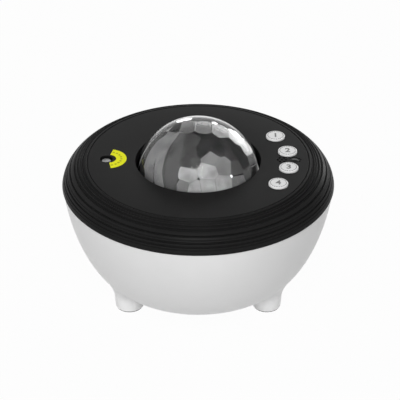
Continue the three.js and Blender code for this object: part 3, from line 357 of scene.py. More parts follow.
mouldedFinishes = {  # dark and light tone, roughness, specular, grain, depth of the grain in mm, mottle
    "buttonWhite": (grey(0.85), grey(0.88), (0.34, 0.44), 0.3, 1800, 0.01, 120),
    "ringBlack": (grey(0.0125), grey(0.0155), (0.3, 0.38), 0.034, 1500, 0.012, 30),
    "panelBlack": (grey(0.008), grey(0.01), (0.5, 0.6), 0.07, 2400, 0.03, 40),
    "innerBlack": (grey(0.012), grey(0.02), (0.45, 0.6), 0.3, 900, 0.02, 90),
    "innerGrey": (grey(0.05), grey(0.065), (0.45, 0.6), 0.3, 900, 0.02, 90),
    "padRubber": (grey(0.035), grey(0.05), (0.75, 0.9), 0.3, 2200, 0.05, 200),
    "markGrey": (grey(0.19), grey(0.23), (0.5, 0.6), 0.3, 2600, 0.01, 400),
    "dashGrey": (grey(0.2), grey(0.26), (0.5, 0.6), 0.3, 2600, 0.01, 400),
    "switchBlack": (grey(0.02), grey(0.03), (0.35, 0.5), 0.4, 1200, 0.02, 300),
    "darkGlass": (grey(0.002), grey(0.004), (0.05, 0.09), 0.12, 300, 0.002, 200),
    "windowGrey": (grey(0.24), grey(0.3), (0.25, 0.35), 0.5, 900, 0.01, 500),
    "conePaper": ((0.03, 0.028, 0.025), (0.05, 0.046, 0.04), (0.8, 0.95), 0.2, 1600, 0.08, 300),
    "ledResin": ((0.42, 0.4, 0.33), (0.5, 0.48, 0.4), (0.15, 0.25), 0.5, 900, 0.01, 600),
    "arcYellow": ((0.94, 0.95, 0.006), (0.97, 0.98, 0.01), (0.4, 0.5), 0.08, 2000, 0.008, 300),
    "arcOlive": ((0.5, 0.49, 0.008), (0.58, 0.58, 0.012), (0.45, 0.55), 0.1, 2000, 0.008, 600),
}
turnedFinishes = {  # dark and light tone, roughness
    "zincSteel": (grey(0.5), grey(0.62), (0.25, 0.4)),
    "aluminium": (grey(0.62), grey(0.72), (0.3, 0.45)),
    "brass": ((0.62, 0.45, 0.18), (0.72, 0.54, 0.24), (0.22, 0.36)),
}
lensPaintedFinishes = {  # painted reflection and shade of the lens facets: dark and light tone, roughness, and how much light it gives as a painted glint
    "lensDark": (grey(0.018), grey(0.04), (0.05, 0.12), 0),
    "lensDim": (grey(0.045), grey(0.07), (0.05, 0.12), 0),
    "lensPaintedGrey": (grey(0.055), grey(0.085), (0.1, 0.2), 0),
    "lensMid": (grey(0.13), grey(0.185), (0.12, 0.22), 0),
    "lensLight": (grey(0.22), grey(0.36), (0.12, 0.22), 0),
    # painted glints: facets that glow white though nothing lights them
    "lensPaintedGlint": (grey(0.8), grey(0.95), (0.05, 0.1), 0.75),
}


def makeFinishes():
    finishes = {
        "bowlWhite": bowlPlastic("bowlWhite"),
        "boardGreen": boardLacquer("boardGreen"),
        "domeClear": clearPlastic("domeClear", (0.99, 0.99, 0.99), (0.0, 0.02), 1.09),
        "discClear": clearPlastic("discClear", (0.9, 0.92, 0.93), (0.05, 0.1), 1.49),
        "lensPaintedBand": bandPlastic("lensPaintedBand", (0.12, 0.22)),
    }
    families = ((moulded, mouldedFinishes), (turnedMetal, turnedFinishes), (facetPlastic, lensPaintedFinishes))
    for makeFinish, recipes in families:
        for name, recipe in recipes.items():
            finishes[name] = makeFinish(name, *recipe)
    return finishes


# Meshes


def addPiece(name, mesh, finish, body, slot, *replaced):
    piece = newObject(name, mesh)
    mesh.materials.append(finish)
    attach(piece, body)
    if replaced:
        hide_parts(*replaced)
    return piece


def shadeSmooth(mesh, angle):
    mesh.shade_smooth()
    mesh.set_sharp_from_angle(angle=math.radians(angle))


def meshFrom(shape, name):
    mesh = bpy.data.meshes.new(name)
    shape.to_mesh(mesh)
    shape.free()
    return mesh


def addShape(name, shape, finish, body, slot, *replaced, angle=32):
    mesh = meshFrom(shape, name)
    shadeSmooth(mesh, angle)
    return addPiece(name, mesh, finish, body, slot, *replaced)


def lathe(outline, segments, place=(0, 0), axisTurn=None):
    # turns a closed outline of (radius, height), counterclockwise, about +Z
    shape = bmesh.new()
    rings = []
    for radius, height in outline:
        if radius == 0:
            rings.append([shape.verts.new((0, 0, height * mm))])
            continue
        turned = []
        for step in range(segments):
            turn = 2 * math.pi * step / segments
            x = radius * math.cos(turn)
            y = radius * math.sin(turn)
            turned.append(shape.verts.new((x * mm, y * mm, height * mm)))
        rings.append(turned)
    for low, high in zip(rings, rings[1:] + rings[:1]):
        for step in range(segments):
            after = (step + 1) % segments
            lower = [low[step % len(low)], low[after % len(low)]]
            upper = [high[after % len(high)], high[step % len(high)]]
            face = list(dict.fromkeys(lower + upper))
            if len(face) > 2:
                shape.faces.new(face)
    if axisTurn is not None:
        bmesh.ops.transform(shape, matrix=axisTurn, verts=shape.verts)
    bmesh.ops.translate(shape, vec=(place[0] * mm, place[1] * mm, 0), verts=shape.verts)
    return shape


def box(size, place):
    shape = bmesh.new()
    bmesh.ops.create_cube(shape, size=1)
    bmesh.ops.scale(shape, vec=[side * mm for side in size], verts=shape.verts)
    bmesh.ops.translate(shape, vec=[along * mm for along in place], verts=shape.verts)
    return shape


def spin(shape, angle):
    bmesh.ops.rotate(shape, cent=(0, 0, 0), matrix=Matrix.Rotation(angle, 3, "Z"), verts=shape.verts)


def polar(radius, angle):
    return (radius * math.cos(math.radians(angle)), radius * math.sin(math.radians(angle)))


def peg(radius, low, high, place, segments=64, flare=0.0):
    # a round cutter, whose mouth opens at 45 degrees where it has a flare
    mouth = [(radius, high - flare), (radius + 2 * flare, high + flare)] if flare else [(radius, high)]
    return lathe([(0, low), (radius, low), *mouth, (0, mouth[-1][1])], segments, place)


def carved(piece, shapes, operation="DIFFERENCE"):
    # cuts with, joins or keeps the overlap with helper shapes, which are then deleted
    for shape in shapes:
        mesh = meshFrom(shape, "helper")
        helper = newObject("helper", mesh)
        step = piece.modifiers.new("carve", "BOOLEAN")
        step.operation = operation
        step.solver = "MANIFOLD"
        step.object = helper
        graph = bpy.context.evaluated_depsgraph_get()
        result = bpy.data.meshes.new_from_object(piece.evaluated_get(graph))
        piece.modifiers.clear()
        old = piece.data
        tones = [face.material_index for face in result.polygons]
        result.materials.clear()
        for material in old.materials:
            result.materials.append(material)
        result.polygons.foreach_set("material_index", tones)
        piece.data = result
        bpy.data.meshes.remove(old)
        bpy.data.objects.remove(helper)
        bpy.data.meshes.remove(mesh)


def arc(centreRadius, centreHeight, radius, start, end, steps):
    points = []
    for step in range(steps + 1):
        turn = math.radians(start + (end - start) * step / steps)
        points.append((centreRadius + radius * math.cos(turn), centreHeight + radius * math.sin(turn)))
    return points


def bezier(corners, share):
    a, b, c, d = (Vector(corner) for corner in corners)
    t = share
    return a * (1 - t) ** 3 + b * 3 * t * (1 - t) ** 2 + c * 3 * t * t * (1 - t) + d * t ** 3


class Curve:
    # a Bezier curve of (radius, height) read by shares of its length
    def __init__(self, corners, samples=400):
        self.points = [bezier(corners, step / samples) for step in range(samples + 1)]
        self.reach = [0.0]
        for a, b in zip(self.points, self.points[1:]):
            self.reach.append(self.reach[-1] + (b - a).length)

    def at(self, share):
        wanted = min(max(share, 0), 1) * self.reach[-1]
        high = min(bisect.bisect_right(self.reach, wanted), len(self.reach) - 1)
        low = high - 1
        span = self.reach[high] - self.reach[low]
        return self.points[low].lerp(self.points[high], (wanted - self.reach[low]) / span)

    def inset(self, share, depth):
        nudge = 0.002
        along = (self.at(share + nudge) - self.at(share - nudge)).normalized()
        point = self.at(share)
        return (point.x + along.y * depth, point.y - along.x * depth)


# Bowl with its three feet

bowl = {
    "rimRadius": 82.3,
    "rimHeight": 74.15,
    "rimRound": 0.7,
    "rimGap": 0.07,
    "floorRadius": 46,
    "floorHeight": 11.5,
    "sideHandle": 23.1,
    "sideLean": 2.3,
    "floorHandle": 21.8,
    "wall": 2.4,
    "paintedLightFrom": 19,
    "paintedLightFullAt": 9,
    "steps": 72,
    "segments": 240,
}
foot = {
    "turns": (-150, -30, 90),
    "circle": 48.9,
    "bottomRadius": 8.6,
    "topRadius": 9.1,
    "bottomRound": 0.5,
    "bottomSteps": 4,
    "fillet": 7.0,
    "filletSteps": 16,
    "slopeShare": 0.9,
    "rounds": 72,
    "padLift": 0.6,
    "recessRadius": 7.5,
    "recessDepth": 2.45,
    "wellRadius": 4.1,
    "wellDepth": 16,
    "screwHole": 1.8,
    "bossRadius": 6.2,
    "bossLift": 0.4,
    "bossTop": 19,
}
vents = {"count": 12, "inner": 8, "outer": 22, "width": 2.2, "roundShare": 0.48, "roundSteps": 5}
inlet = {
    "height": 40,
    "recessRadius": 6.5,
    "recessFloor": 68.49,
    "noseRadius": 4.2,
    "wall": 3,
    "block": 18,
    "sink": 0.1,
}


def bowlCurve():
    return Curve([
        (bowl["rimRadius"], bowl["rimHeight"]),
        (bowl["rimRadius"] - bowl["sideLean"], bowl["rimHeight"] - bowl["sideHandle"]),
        (bowl["floorRadius"] + bowl["floorHandle"], bowl["floorHeight"]),
        (bowl["floorRadius"], bowl["floorHeight"]),
    ])


def underside(outline, radius):
    # height of the bowl's outside at a radius, from its outline in rising radius
    if radius <= outline[0][0]:
        return outline[0][1]
    for (r0, z0), (r1, z1) in zip(outline, outline[1:]):
        if r1 >= radius:
            return z0 + (z1 - z0) * (radius - r0) / (r1 - r0)
    return outline[-1][1]


def footShape(outline, turn):
    # rings from the sole up the side, then a fillet that ends on the bowl's own surface
    top = foot["topRadius"]
    fillet = foot["fillet"]
    bottom = foot["padLift"]
    rounding = foot["bottomRound"]
    sink = bowl["wall"] / 3
    shape = bmesh.new()

    def corner(angle, radius, height):
        x = foot["circle"] + radius * math.cos(angle)
        return shape.verts.new((x * mm, radius * math.sin(angle) * mm, height * mm))

    def surface(angle, radius):
        x = foot["circle"] + radius * math.cos(angle)
        y = radius * math.sin(angle)
        return underside(outline, math.hypot(x, y))

    def filletPoint(angle, share):
        outer = surface(angle, top + fillet)
        inner = surface(angle, top + fillet * foot["slopeShare"])
        slope = (outer - inner) / ((1 - foot["slopeShare"]) * fillet)
        knee = outer - slope * fillet
        start = max(min(surface(angle, top), knee) - fillet, bottom + rounding * 1.2)
        height = start * (1 - share) ** 2 + 2 * knee * share * (1 - share) + outer * share ** 2
        return top + fillet * share ** 2, height

    angles = [2 * math.pi * side / foot["rounds"] for side in range(foot["rounds"])]
    rings = []
    for step in range(foot["bottomSteps"] + 1):
        lift = math.radians(90 * step / foot["bottomSteps"])
        radius = foot["bottomRadius"] - rounding + rounding * math.sin(lift)
        height = bottom + rounding * (1 - math.cos(lift))
        rings.append([corner(angle, radius, height) for angle in angles])
    for step in range(foot["filletSteps"] + 1):
        share = step / foot["filletSteps"]
        rings.append([corner(angle, *filletPoint(angle, share)) for angle in angles])
    rings.append([corner(angle, top + fillet, surface(angle, top + fillet) + sink) for angle in angles])
    for low, high in zip(rings, rings[1:]):
        for side in range(foot["rounds"]):
            after = (side + 1) % foot["rounds"]
            shape.faces.new((low[side], low[after], high[after], high[side]))
    shape.faces.new(list(reversed(rings[0])))
    middle = corner(0, 0, surface(0, 0) + sink)
    for side, vert in enumerate(rings[-1]):
        shape.faces.new((vert, rings[-1][(side + 1) % foot["rounds"]], middle))
    spin(shape, math.radians(turn))
    return shape


def ventShape(number):
    length = vents["outer"] - vents["inner"]
    size = (length, vents["width"], bowl["wall"] + 4 * overrun)
    shape = box(size, (vents["inner"] + length / 2, 0, bowl["floorHeight"] + bowl["wall"] / 2))
    corners = [edge for edge in shape.edges if abs(edge.verts[0].co.z - edge.verts[1].co.z) > mm]
    rounding = vents["width"] * vents["roundShare"] * mm
    steps = vents["roundSteps"]
    bmesh.ops.bevel(shape, geom=corners, offset=rounding, segments=steps, profile=0.5, affect="EDGES")
    spin(shape, 2 * math.pi * number / vents["count"])
    return shape


def rearPeg(radius, near, far, segments):
    lie = Matrix.Translation((0, 0, inlet["height"] * mm)) @ Matrix.Rotation(-math.pi / 2, 4, "X")
    return lathe([(0, near), (radius, near), (radius, far), (0, far)], segments, axisTurn=lie)


def inletBlock(outside):
    # the thick part of the wall around the inlet, cut to just under the bowl's outside
    near = inlet["recessFloor"] - inlet["wall"]
    far = bowl["rimRadius"]
    block = box((inlet["block"], far - near, inlet["block"]), (0, (far + near) / 2, inlet["height"]))
    helper = newObject("inletBlock", meshFrom(block, "inletBlock"))
    within = [(radius - inlet["sink"], height) for radius, height in outside]
    outline = [(0, bowl["floorHeight"] + inlet["sink"]), *within, (0, bowl["rimHeight"])]
    carved(helper, [lathe(outline, bowl["segments"])], "INTERSECT")
    shape = bmesh.new()
    shape.from_mesh(helper.data)
    bpy.data.objects.remove(helper)
    return shape


def makeBowl(finish):
    curve = bowlCurve()
    steps = bowl["steps"]
    outside = [curve.inset(1 - step / steps, 0) for step in range(steps + 1)]
    inside = [curve.inset(1 - step / steps, bowl["wall"]) for step in range(steps + 1)]
    rounding = bowl["rimRound"]
    rimTop = bowl["rimHeight"]
    rim = arc(bowl["rimRadius"] - rounding, rimTop - rounding, rounding, 0, 90, 6)
    body = [point for point in outside if point[1] < rimTop - rounding - bowl["rimGap"]]
    outline = [(0, bowl["floorHeight"]), *body, *rim, (0, rimTop)]
    solid = lathe(outline, bowl["segments"])
    piece = addShape("bowl_shell", solid, finish, "case", "white_plastic", "bowl")
    carved(piece, [footShape(outside, turn) for turn in foot["turns"]], "UNION")
    floorTop = bowl["floorHeight"] + bowl["wall"]
    mouth = rimTop + 2 * overrun
    carved(piece, [lathe([(0, floorTop), *inside, (inside[-1][0], mouth), (0, mouth)], bowl["segments"])])
    for turn in foot["turns"]:
        place = polar(foot["circle"], turn)
        boss = peg(foot["bossRadius"], bowl["floorHeight"] + foot["bossLift"], foot["bossTop"], place)
        carved(piece, [boss], "UNION")
        carved(piece, [
            peg(foot["recessRadius"], -overrun, foot["recessDepth"], place, 96),
            peg(foot["wellRadius"], 0, foot["wellDepth"], place),
            peg(foot["screwHole"], overrun, foot["bossTop"] + overrun, place, 32),
        ])
    carved(piece, [ventShape(number) for number in range(vents["count"])])
    carved(piece, [inletBlock(outside)], "UNION")
    recessFloor = inlet["recessFloor"]
    carved(piece, [
        rearPeg(inlet["recessRadius"], recessFloor, bowl["rimRadius"] + 2 * overrun, 96),
        rearPeg(inlet["noseRadius"], recessFloor - inlet["wall"] - overrun, recessFloor + overrun, 64),
    ])
    shadeSmooth(piece.data, 28)


pad = {
    "radius": 7.2,
    "thickness": 2.2,
    "round": 0.2,
    "flange": 8.1,
    "flangeTop": 0.5,
    "hollowShare": 0.62,
    "hollowInset": 0.8,
    "hollowDepth": 0.25,
}


def makePads(finish):
    for name, turn in zip(("left", "right", "back"), foot["turns"]):
        edge = arc(pad["flange"] - pad["round"], pad["round"], pad["round"], -90, 0, 5)
        hollow = pad["radius"] * pad["hollowShare"] - pad["hollowInset"]
        depth = pad["hollowDepth"]
        sole = [(0, depth), (hollow, depth), (hollow + depth, 0), *edge]
        side = [(pad["flange"], pad["flangeTop"]), (pad["radius"], pad["flangeTop"])]
        outline = [*sole, *side, (pad["radius"], pad["thickness"]), (0, pad["thickness"])]
        shape = lathe(outline, 96, polar(foot["circle"], turn))
        addShape(f"foot_pad_{name}_soft", shape, finish, "case", "pad_rubber", f"foot_pad_{name}")


# Cover ring

ring = {
    "rebate": 67.5,
    "top": 90,
    "seam": 74.4,
    "seamRadius": 82.95,
    "crownHandle": 6.4,
    "crownDrop": 0.7,
    "sideHandle": 8.8,
    "sideLean": 1.0,
    "edgeRound": 0.45,
    "ledgeInner": 64.8,
    "ledgeTop": 87.35,
    "ledgeBottom": 85.75,
    "lipOuter": 79.1,
    "lipInner": 77.3,
    "lipBottom": 70.4,
    "wall": 2.4,
    "wallShares": (0.9, 0.75, 0.6, 0.45, 0.3),
    "hemInset": 0.01,
    "grooveWidth": 1.35,
    "grooveShape": 1.3,
    "edgeSteps": 5,
    "steps": 360,
    "segments": 320,
}
grooves = [  # middle and half width as shares of the crown's length, depth in mm
    (0.1, 0.03, 1.0),
    (0.168, 0.024, 0.7),
    (0.248, 0.034, 1.1),
    (0.352, 0.034, 1.2),
    (0.516, 0.024, 1.1),
    (0.616, 0.014, 0.35),
    (0.69, 0.023, 1.0),
    (0.79, 0.021, 0.8),
    (0.865, 0.015, 0.45),
]


def ringDepth(share):
    # each groove is a soft dip, and where two meet the deeper one counts
    depth = 0.0
    for middle, half, deep in grooves:
        away = min(abs(share - middle) / half / ring["grooveWidth"], 1)
        depth = max(depth, deep * 0.5 * (1 + math.cos(math.pi * away ** ring["grooveShape"])))
    return depth


def makeRing(finish):
    rebate = ring["rebate"]
    seam = ring["seam"]
    seamRadius = ring["seamRadius"]
    curve = Curve([
        (rebate, ring["top"]),
        (rebate + ring["crownHandle"], ring["top"] - ring["crownDrop"]),
        (seamRadius - ring["sideLean"], seam + ring["sideHandle"]),
        (seamRadius, seam),
    ])
    rounding = ring["edgeRound"]
    first = rounding / curve.reach[-1]
    outside = arc(rebate + rounding, ring["top"] - rounding, rounding, 180, 92, ring["edgeSteps"])
    for step in range(ring["steps"] + 1):
        share = first + (1 - 2 * first) * step / ring["steps"]
        outside.append(curve.inset(share, ringDepth(share)))
    hem = arc(seamRadius - rounding, seam + rounding, rounding, 0, -90, ring["edgeSteps"])
    outline = [
        *outside,
        *[(radius - ring["hemInset"], height) for radius, height in hem],
        (ring["lipOuter"], seam),
        (ring["lipOuter"], ring["lipBottom"]),
        (ring["lipInner"], ring["lipBottom"]),
        (ring["lipInner"], seam + ring["wall"]),
        *[curve.inset(share, ring["wall"]) for share in ring["wallShares"]],
        (rebate + ring["wall"], ring["ledgeBottom"]),
        (ring["ledgeInner"], ring["ledgeBottom"]),
        (ring["ledgeInner"], ring["ledgeTop"]),
        (rebate, ring["ledgeTop"]),
    ]
    crown = lathe(list(reversed(outline)), ring["segments"])
    addShape("cover_crown", crown, finish, "case", "black_plastic", "cover_ring", angle=50)


# Flat panel

panel = {
    "top": 90,
    "bottom": 87.6,
    "outer": 67.25,
    "opening": 38,
    "edgeRound": 0.55,
    "lipRound": 0.4,
    "skirtOuter": 40.2,
    "skirtBottom": 78.65,
    "segments": 256,
}
controls = {
    "circle": 55.5,
    "step": 20.4,
    "radius": 5.9,
    "holeRadius": 6.2,
    "holeFlare": 0.12,
    "rosette": {"place": 50.8, "circle": 2.5, "radius": 0.78, "count": 6, "flare": 0.06},
    "window": {"place": (58.3, 0), "radius": 3.0, "flare": 0.08},
    "dimples": {"place": 59.7, "circle": 2.5, "radius": 0.55, "depth": 0.7, "flare": 0.06},
    "dimpleTurns": (-90, -45, 0, 45, 90),
    "laser": {"place": (-55.8, 1.2), "radius": 3.9, "flare": 0.1},
}


def buttonPlaces():
    return [polar(controls["circle"], (1.5 - number) * controls["step"]) for number in range(4)]


def makePanel(finish):
    top = panel["top"]
    edge = panel["edgeRound"]
    lip = panel["lipRound"]
    outline = [
        (panel["opening"], panel["skirtBottom"]),
        (panel["skirtOuter"], panel["skirtBottom"]),
        (panel["skirtOuter"], panel["bottom"]),
        (panel["outer"], panel["bottom"]),
        *arc(panel["outer"] - edge, top - edge, edge, 0, 90, 6),
        *arc(panel["opening"] + lip, top - lip, lip, 90, 180, 6),
    ]
    plate = lathe(outline, panel["segments"])
    piece = addShape("panel_plate", plate, finish, "case", "panel_plastic", "top_panel")
    below = panel["bottom"] - overrun
    holes = []
    for place in buttonPlaces():
        holes.append(peg(controls["holeRadius"], below, top, place, 96, controls["holeFlare"]))
    for name, segments in (("laser", 96), ("window", 72)):
        hole = controls[name]
        holes.append(peg(hole["radius"], below, top, hole["place"], segments, hole["flare"]))
    rosette = controls["rosette"]
    spots = [polar(rosette["circle"], 360 / rosette["count"] * number) for number in range(rosette["count"])]
    for x, y in [(0, 0), *spots]:
        holes.append(peg(rosette["radius"], below, top, (rosette["place"] + x, y), 24, rosette["flare"]))
    dimples = controls["dimples"]
    for turn in controls["dimpleTurns"]:
        x, y = polar(dimples["circle"], turn)
        low = top - dimples["depth"]
        holes.append(peg(dimples["radius"], low, top, (dimples["place"] + x, y), 24, dimples["flare"]))
    carved(piece, holes)
    shadeSmooth(piece.data, 30)


# Dome and faceted lens

dome = {
    "radius": 38.5,
    "wall": 0.6,
    "centre": 76.7,
    "neckRadius": 37.85,
    "flangeBottom": 76.8,
    "flangeTop": 78.4,
    "flangeRadius": 42,
    "steps": 72,
    "segments": 256,
}
lens = {
    "radius": 37.75,
    "wall": 2.2,
    "bottom": 74.4,
    "depthShare": 0.982,
    "paintedEdge": 0.13,
    "paintedEdgeArea": 8,  # square mm, the least area of a facet with a painted edge line
    "turnedShare": -0.25,  # how far behind the outline a column may come again
    "collarRadius": 35.9,
    "collarTop": 78.8,
    "waistRadius": 37.1,
    "waistTop": 84,
    "sleeveDrop": 4,
    "hollowFrom": -12,
    "rim": {"start": 40, "end": 134, "step": 5, "lean": -5, "reachShare": 0.9999},
}
# the lens's tones are painted reflection and shade, and the band and the glints are painted highlights as
# well
lensTones = ("lensDark", "lensDim", "lensPaintedGrey", "lensMid", "lensLight", "lensPaintedGlint", "lensPaintedBand")
lensColumns = (  # painted tone of reflection and shade, how far out as a share, facets to each stop, and stops: degrees to the right and up
    ("lensDark", 0, 3, ((-97, 16), (-100, 30), (-104, 44), (-108, 58))),
    ("lensLight", 0.002, 3, ((-89, 20), (-93, 33), (-97, 47), (-101, 60))),
    ("lensDark", 0, 3, ((-79, 16), (-85, 29), (-90, 42), (-95, 54))),
    ("lensMid", 0, 3, ((-55, 18), (-62, 29), (-68, 40), (-73, 50), (-80, 61))),
    ("lensDim", 0.004, 3, ((-48, 18), (-55, 29), (-61, 40), (-66, 50), (-73, 61))),
    ("lensMid", 0, 3, ((-41, 18), (-48, 29), (-53, 40), (-58, 50), (-65, 61))),
    ("lensDim", 0.004, 3, ((-33, 18), (-39, 29), (-43, 40), (-48, 50), (-55, 61))),
    ("lensPaintedGrey", 0, 3, ((-27, 20), (-31, 31), (-34, 42), (-38, 52), (-44, 64))),
    ("lensDim", 0, 1, ((-12, 47), (-15, 57), (-18, 65))),
    ("lensMid", 0, 1, ((-16, 22),)),
    ("lensLight", 0, 1, ((-13, 34), (-4, 20))),
    ("lensLight", 0, 1, ((12, 37), (10, 22))),
    ("lensMid", 0, 1, ((19, 49),)),
    ("lensDark", 0, 1, ((9, 59), (32, 56), (52, 47), (62, 34))),
    ("lensMid", 0, 1, ((32, 39), (45, 20))),
    ("lensLight", 0, 1, ((26, 23),)),
    ("lensPaintedGrey", 0, 1, ((48, 33), (60, 22))),
)
lensCells = (  # painted tone of reflection and shade, how far out as a share, and places as the camera sees them, in shares right and up
    ("lensPaintedBand", 0, ((-0.18, 0.82), (0.09, 0.82), (0.37, 0.75), (0.6, 0.65))),
    ("lensPaintedBand", 0, ((0.78, 0.47), (0.87, 0.29), (0.92, 0.12))),
    ("lensDark", 0, ((-0.39, 0.79), (-0.57, 0.7), (0.49, 0.53), (0.63, 0.41), (0.73, 0.25))),
    ("lensDark", 0.004, ((0.86, 0.06), (-0.9, 0.05), (-0.3, -0.12), (0.66, 0.0))),
    # small facets of painted glint, glowing white
    ("lensPaintedGlint", 0.0145, ((-0.28, 0.92), (-0.17, 0.945))),
    ("lensPaintedGlint", 0.0162, ((0.26, 0.88), (0.52, 0.76), (0.72, 0.61), (0.85, 0.42))),
    ("lensPaintedGlint", 0.0135, ((0.29, 0.0),)),
    ("lensPaintedGlint", 0.015, ((0.53, 0.02),)),
)
# painted edge lines: the tone of the narrow border for each facet tone
lensPaintedEdges = {"lensLight": "lensMid", "lensPaintedBand": "lensLight"}


def makeDome(finish):
    radius = dome["radius"]
    inner = radius - dome["wall"]
    centre = dome["centre"]
    neck = dome["neckRadius"]
    innerNeck = neck - dome["wall"]
    start = math.degrees(math.acos(neck / radius))
    low = math.degrees(math.acos(innerNeck / inner))
    outline = [
        (innerNeck, dome["flangeBottom"]),
        (dome["flangeRadius"], dome["flangeBottom"]),
        (dome["flangeRadius"], dome["flangeTop"]),
        (neck, dome["flangeTop"]),
        *arc(0, centre, radius, start, 90, dome["steps"])[:-1],
        (0, centre + radius),
        (0, centre + inner),
        *reversed(arc(0, centre, inner, low, 90, dome["steps"])[:-1]),
    ]
    shell = lathe(outline, dome["segments"])
    addShape("dome_shell", shell, finish, "case", "clear_plastic", "dome", angle=40)


def cutPlane(shape, at, facing, tone):
    everything = shape.verts[:] + shape.edges[:] + shape.faces[:]
    result = bmesh.ops.bisect_plane(shape, geom=everything, plane_co=at, plane_no=facing, clear_outer=True)
    rim = [part for part in result["geom_cut"] if isinstance(part, bmesh.types.BMEdge)]
    if rim:
        for face in bmesh.ops.contextual_create(shape, geom=rim)["faces"]:
            face.material_index = tone


def facetSolid(facets):
    # a ball cut flat by one plane for each facet, and level at its base
    shape = bmesh.new()
    bmesh.ops.create_icosphere(shape, subdivisions=5, radius=lens["radius"] * mm)
    centre = Vector((0, 0, dome["centre"] * mm))
    bmesh.ops.translate(shape, vec=centre, verts=shape.verts)
    for facing, out, tone in facets:
        cutPlane(shape, centre + facing * lens["radius"] * (lens["depthShare"] + out) * mm, facing, tone)
    cutPlane(shape, Vector((0, 0, lens["bottom"] * mm)), Vector((0, 0, -1)), 0)
    return shape


def facingUp(side, rise):
    turn = math.radians(side - 90)
    lift = math.radians(rise)
    return Vector((math.cos(lift) * math.cos(turn), math.cos(lift) * math.sin(turn), math.sin(lift)))


def facingSeen(right, up):
    # the way to a spot on the ball's near side, given as the camera sees it in shares of the radius
    near = cameraWay()
    upward = Vector((0, near.z, -near.y))
    return Vector((right, 0, 0)) + upward * up + near * math.sqrt(1 - right ** 2 - up ** 2)


def denser(way, steps):
    # the same way with more stops, so that the sides of a column run smoothly
    stops = []
    for (side, rise), (nextSide, nextRise) in zip(way, way[1:]):
        for step in range(steps):
            share = step / steps
            stops.append((side + (nextSide - side) * share, rise + (nextRise - rise) * share))
    return stops + [way[-1]]


def allFacets():
    # the columns come again, turned half round, where the camera doesn't see them
    facets = []
    for tone, out, steps, way in lensColumns:
        index = lensTones.index(tone)
        for side, rise in denser(way, steps):
            facets.append((facingUp(side, rise), out, index))
            behind = facingUp(side + 180, rise)
            if behind.dot(cameraWay()) < lens["turnedShare"]:
                facets.append((behind, out, index))
    for tone, out, places in lensCells:
        for right, up in places:
            facets.append((facingSeen(right, up), out, lensTones.index(tone)))
    # a chain of band facets along the outline, carrying the band's painted highlight line
    rim = lens["rim"]
    lean = math.radians(rim["lean"])
    for turn in range(rim["start"], rim["end"] + 1, rim["step"]):
        edge = facingSeen(*polar(rim["reachShare"], turn))
        facing = (edge * math.cos(lean) + cameraWay() * math.sin(lean)).normalized()
        facets.append((facing, 0, lensTones.index("lensPaintedBand")))
    return facets


def creaseFacets(shape):
    # a narrow border in another tone inside some of the flat facets, but not in the level base: a painted
    # edge line standing in for the light and shade at the facet edges
    least = lens["paintedEdgeArea"] * mm ** 2
    for face in [face for face in shape.faces if face.calc_area() > least and face.normal.z > -0.9]:
        tone = face.material_index
        if lensTones[tone] not in lensPaintedEdges:
            continue
        paintedEdge = lensTones.index(lensPaintedEdges[lensTones[tone]])
        for side in bmesh.ops.inset_individual(shape, faces=[face], thickness=lens["paintedEdge"] * mm)["faces"]:
            side.material_index = paintedEdge
        face.material_index = tone


def makeLens(finishes):
    outer = facetSolid(allFacets())
    creaseFacets(outer)
    piece = addShape("lens_shell", outer, finishes[lensTones[0]], "lens", "lens_plastic", "ripple_lens")
    for tone in lensTones[1:]:
        piece.data.materials.append(finishes[tone])
    low = lens["bottom"] - lens["sleeveDrop"]
    high = dome["centre"] + lens["radius"] + overrun
    wide = lens["radius"] + overrun
    collar = lens["collarRadius"]
    waist = lens["waistRadius"]
    sleeve = [
        (0, low),
        (collar, low),
        (collar, lens["collarTop"]),
        (waist, lens["collarTop"] + waist - collar),
        (waist, lens["waistTop"]),
        (wide, lens["waistTop"] + wide - waist),
        (wide, high),
        (0, high),
    ]
    carved(piece, [lathe(sleeve, 128)], "INTERSECT")
    inner = lens["radius"] - lens["wall"]
    hollow = arc(0, dome["centre"], inner, lens["hollowFrom"], 90, 24)[:-1]
    carved(piece, [lathe([(0, low), *hollow, (0, dome["centre"] + inner)], 64)])
    piece.data.shade_flat()


# Laser outlet and its arc

outlet = {
    "windowRadius": 2.75,
    "windowTop": 88.65,
    "windowBottom": 87.65,
    "windowRound": 0.2,
    "bezelRadius": 3.6,
    "bezelTop": 88.4,
    "bezelEdge": 0.15,
    "bezelBottom": 83.8,
    "seatRadius": 2.9,
    "seatGap": 0.25,
    "throat": 1.95,
    "flange": 5.8,
    "flangeTop": 87.35,
    "flangeBottom": 86.25,
    "flangeSlope": 0.7,
}
arcMark = {
    "offset": 1.1,
    "inner": 4.85,
    "outer": 11.2,
    "start": -80,
    "end": 76,
    "height": 0.14,
    "steps": 72,
    "dashRadius": 8.0,
    "dashWidth": 1.3,
    "dashHeight": 0.03,
    "dashes": 9,
    "dashShare": 0.62,
    "dashSteps": 8,
}


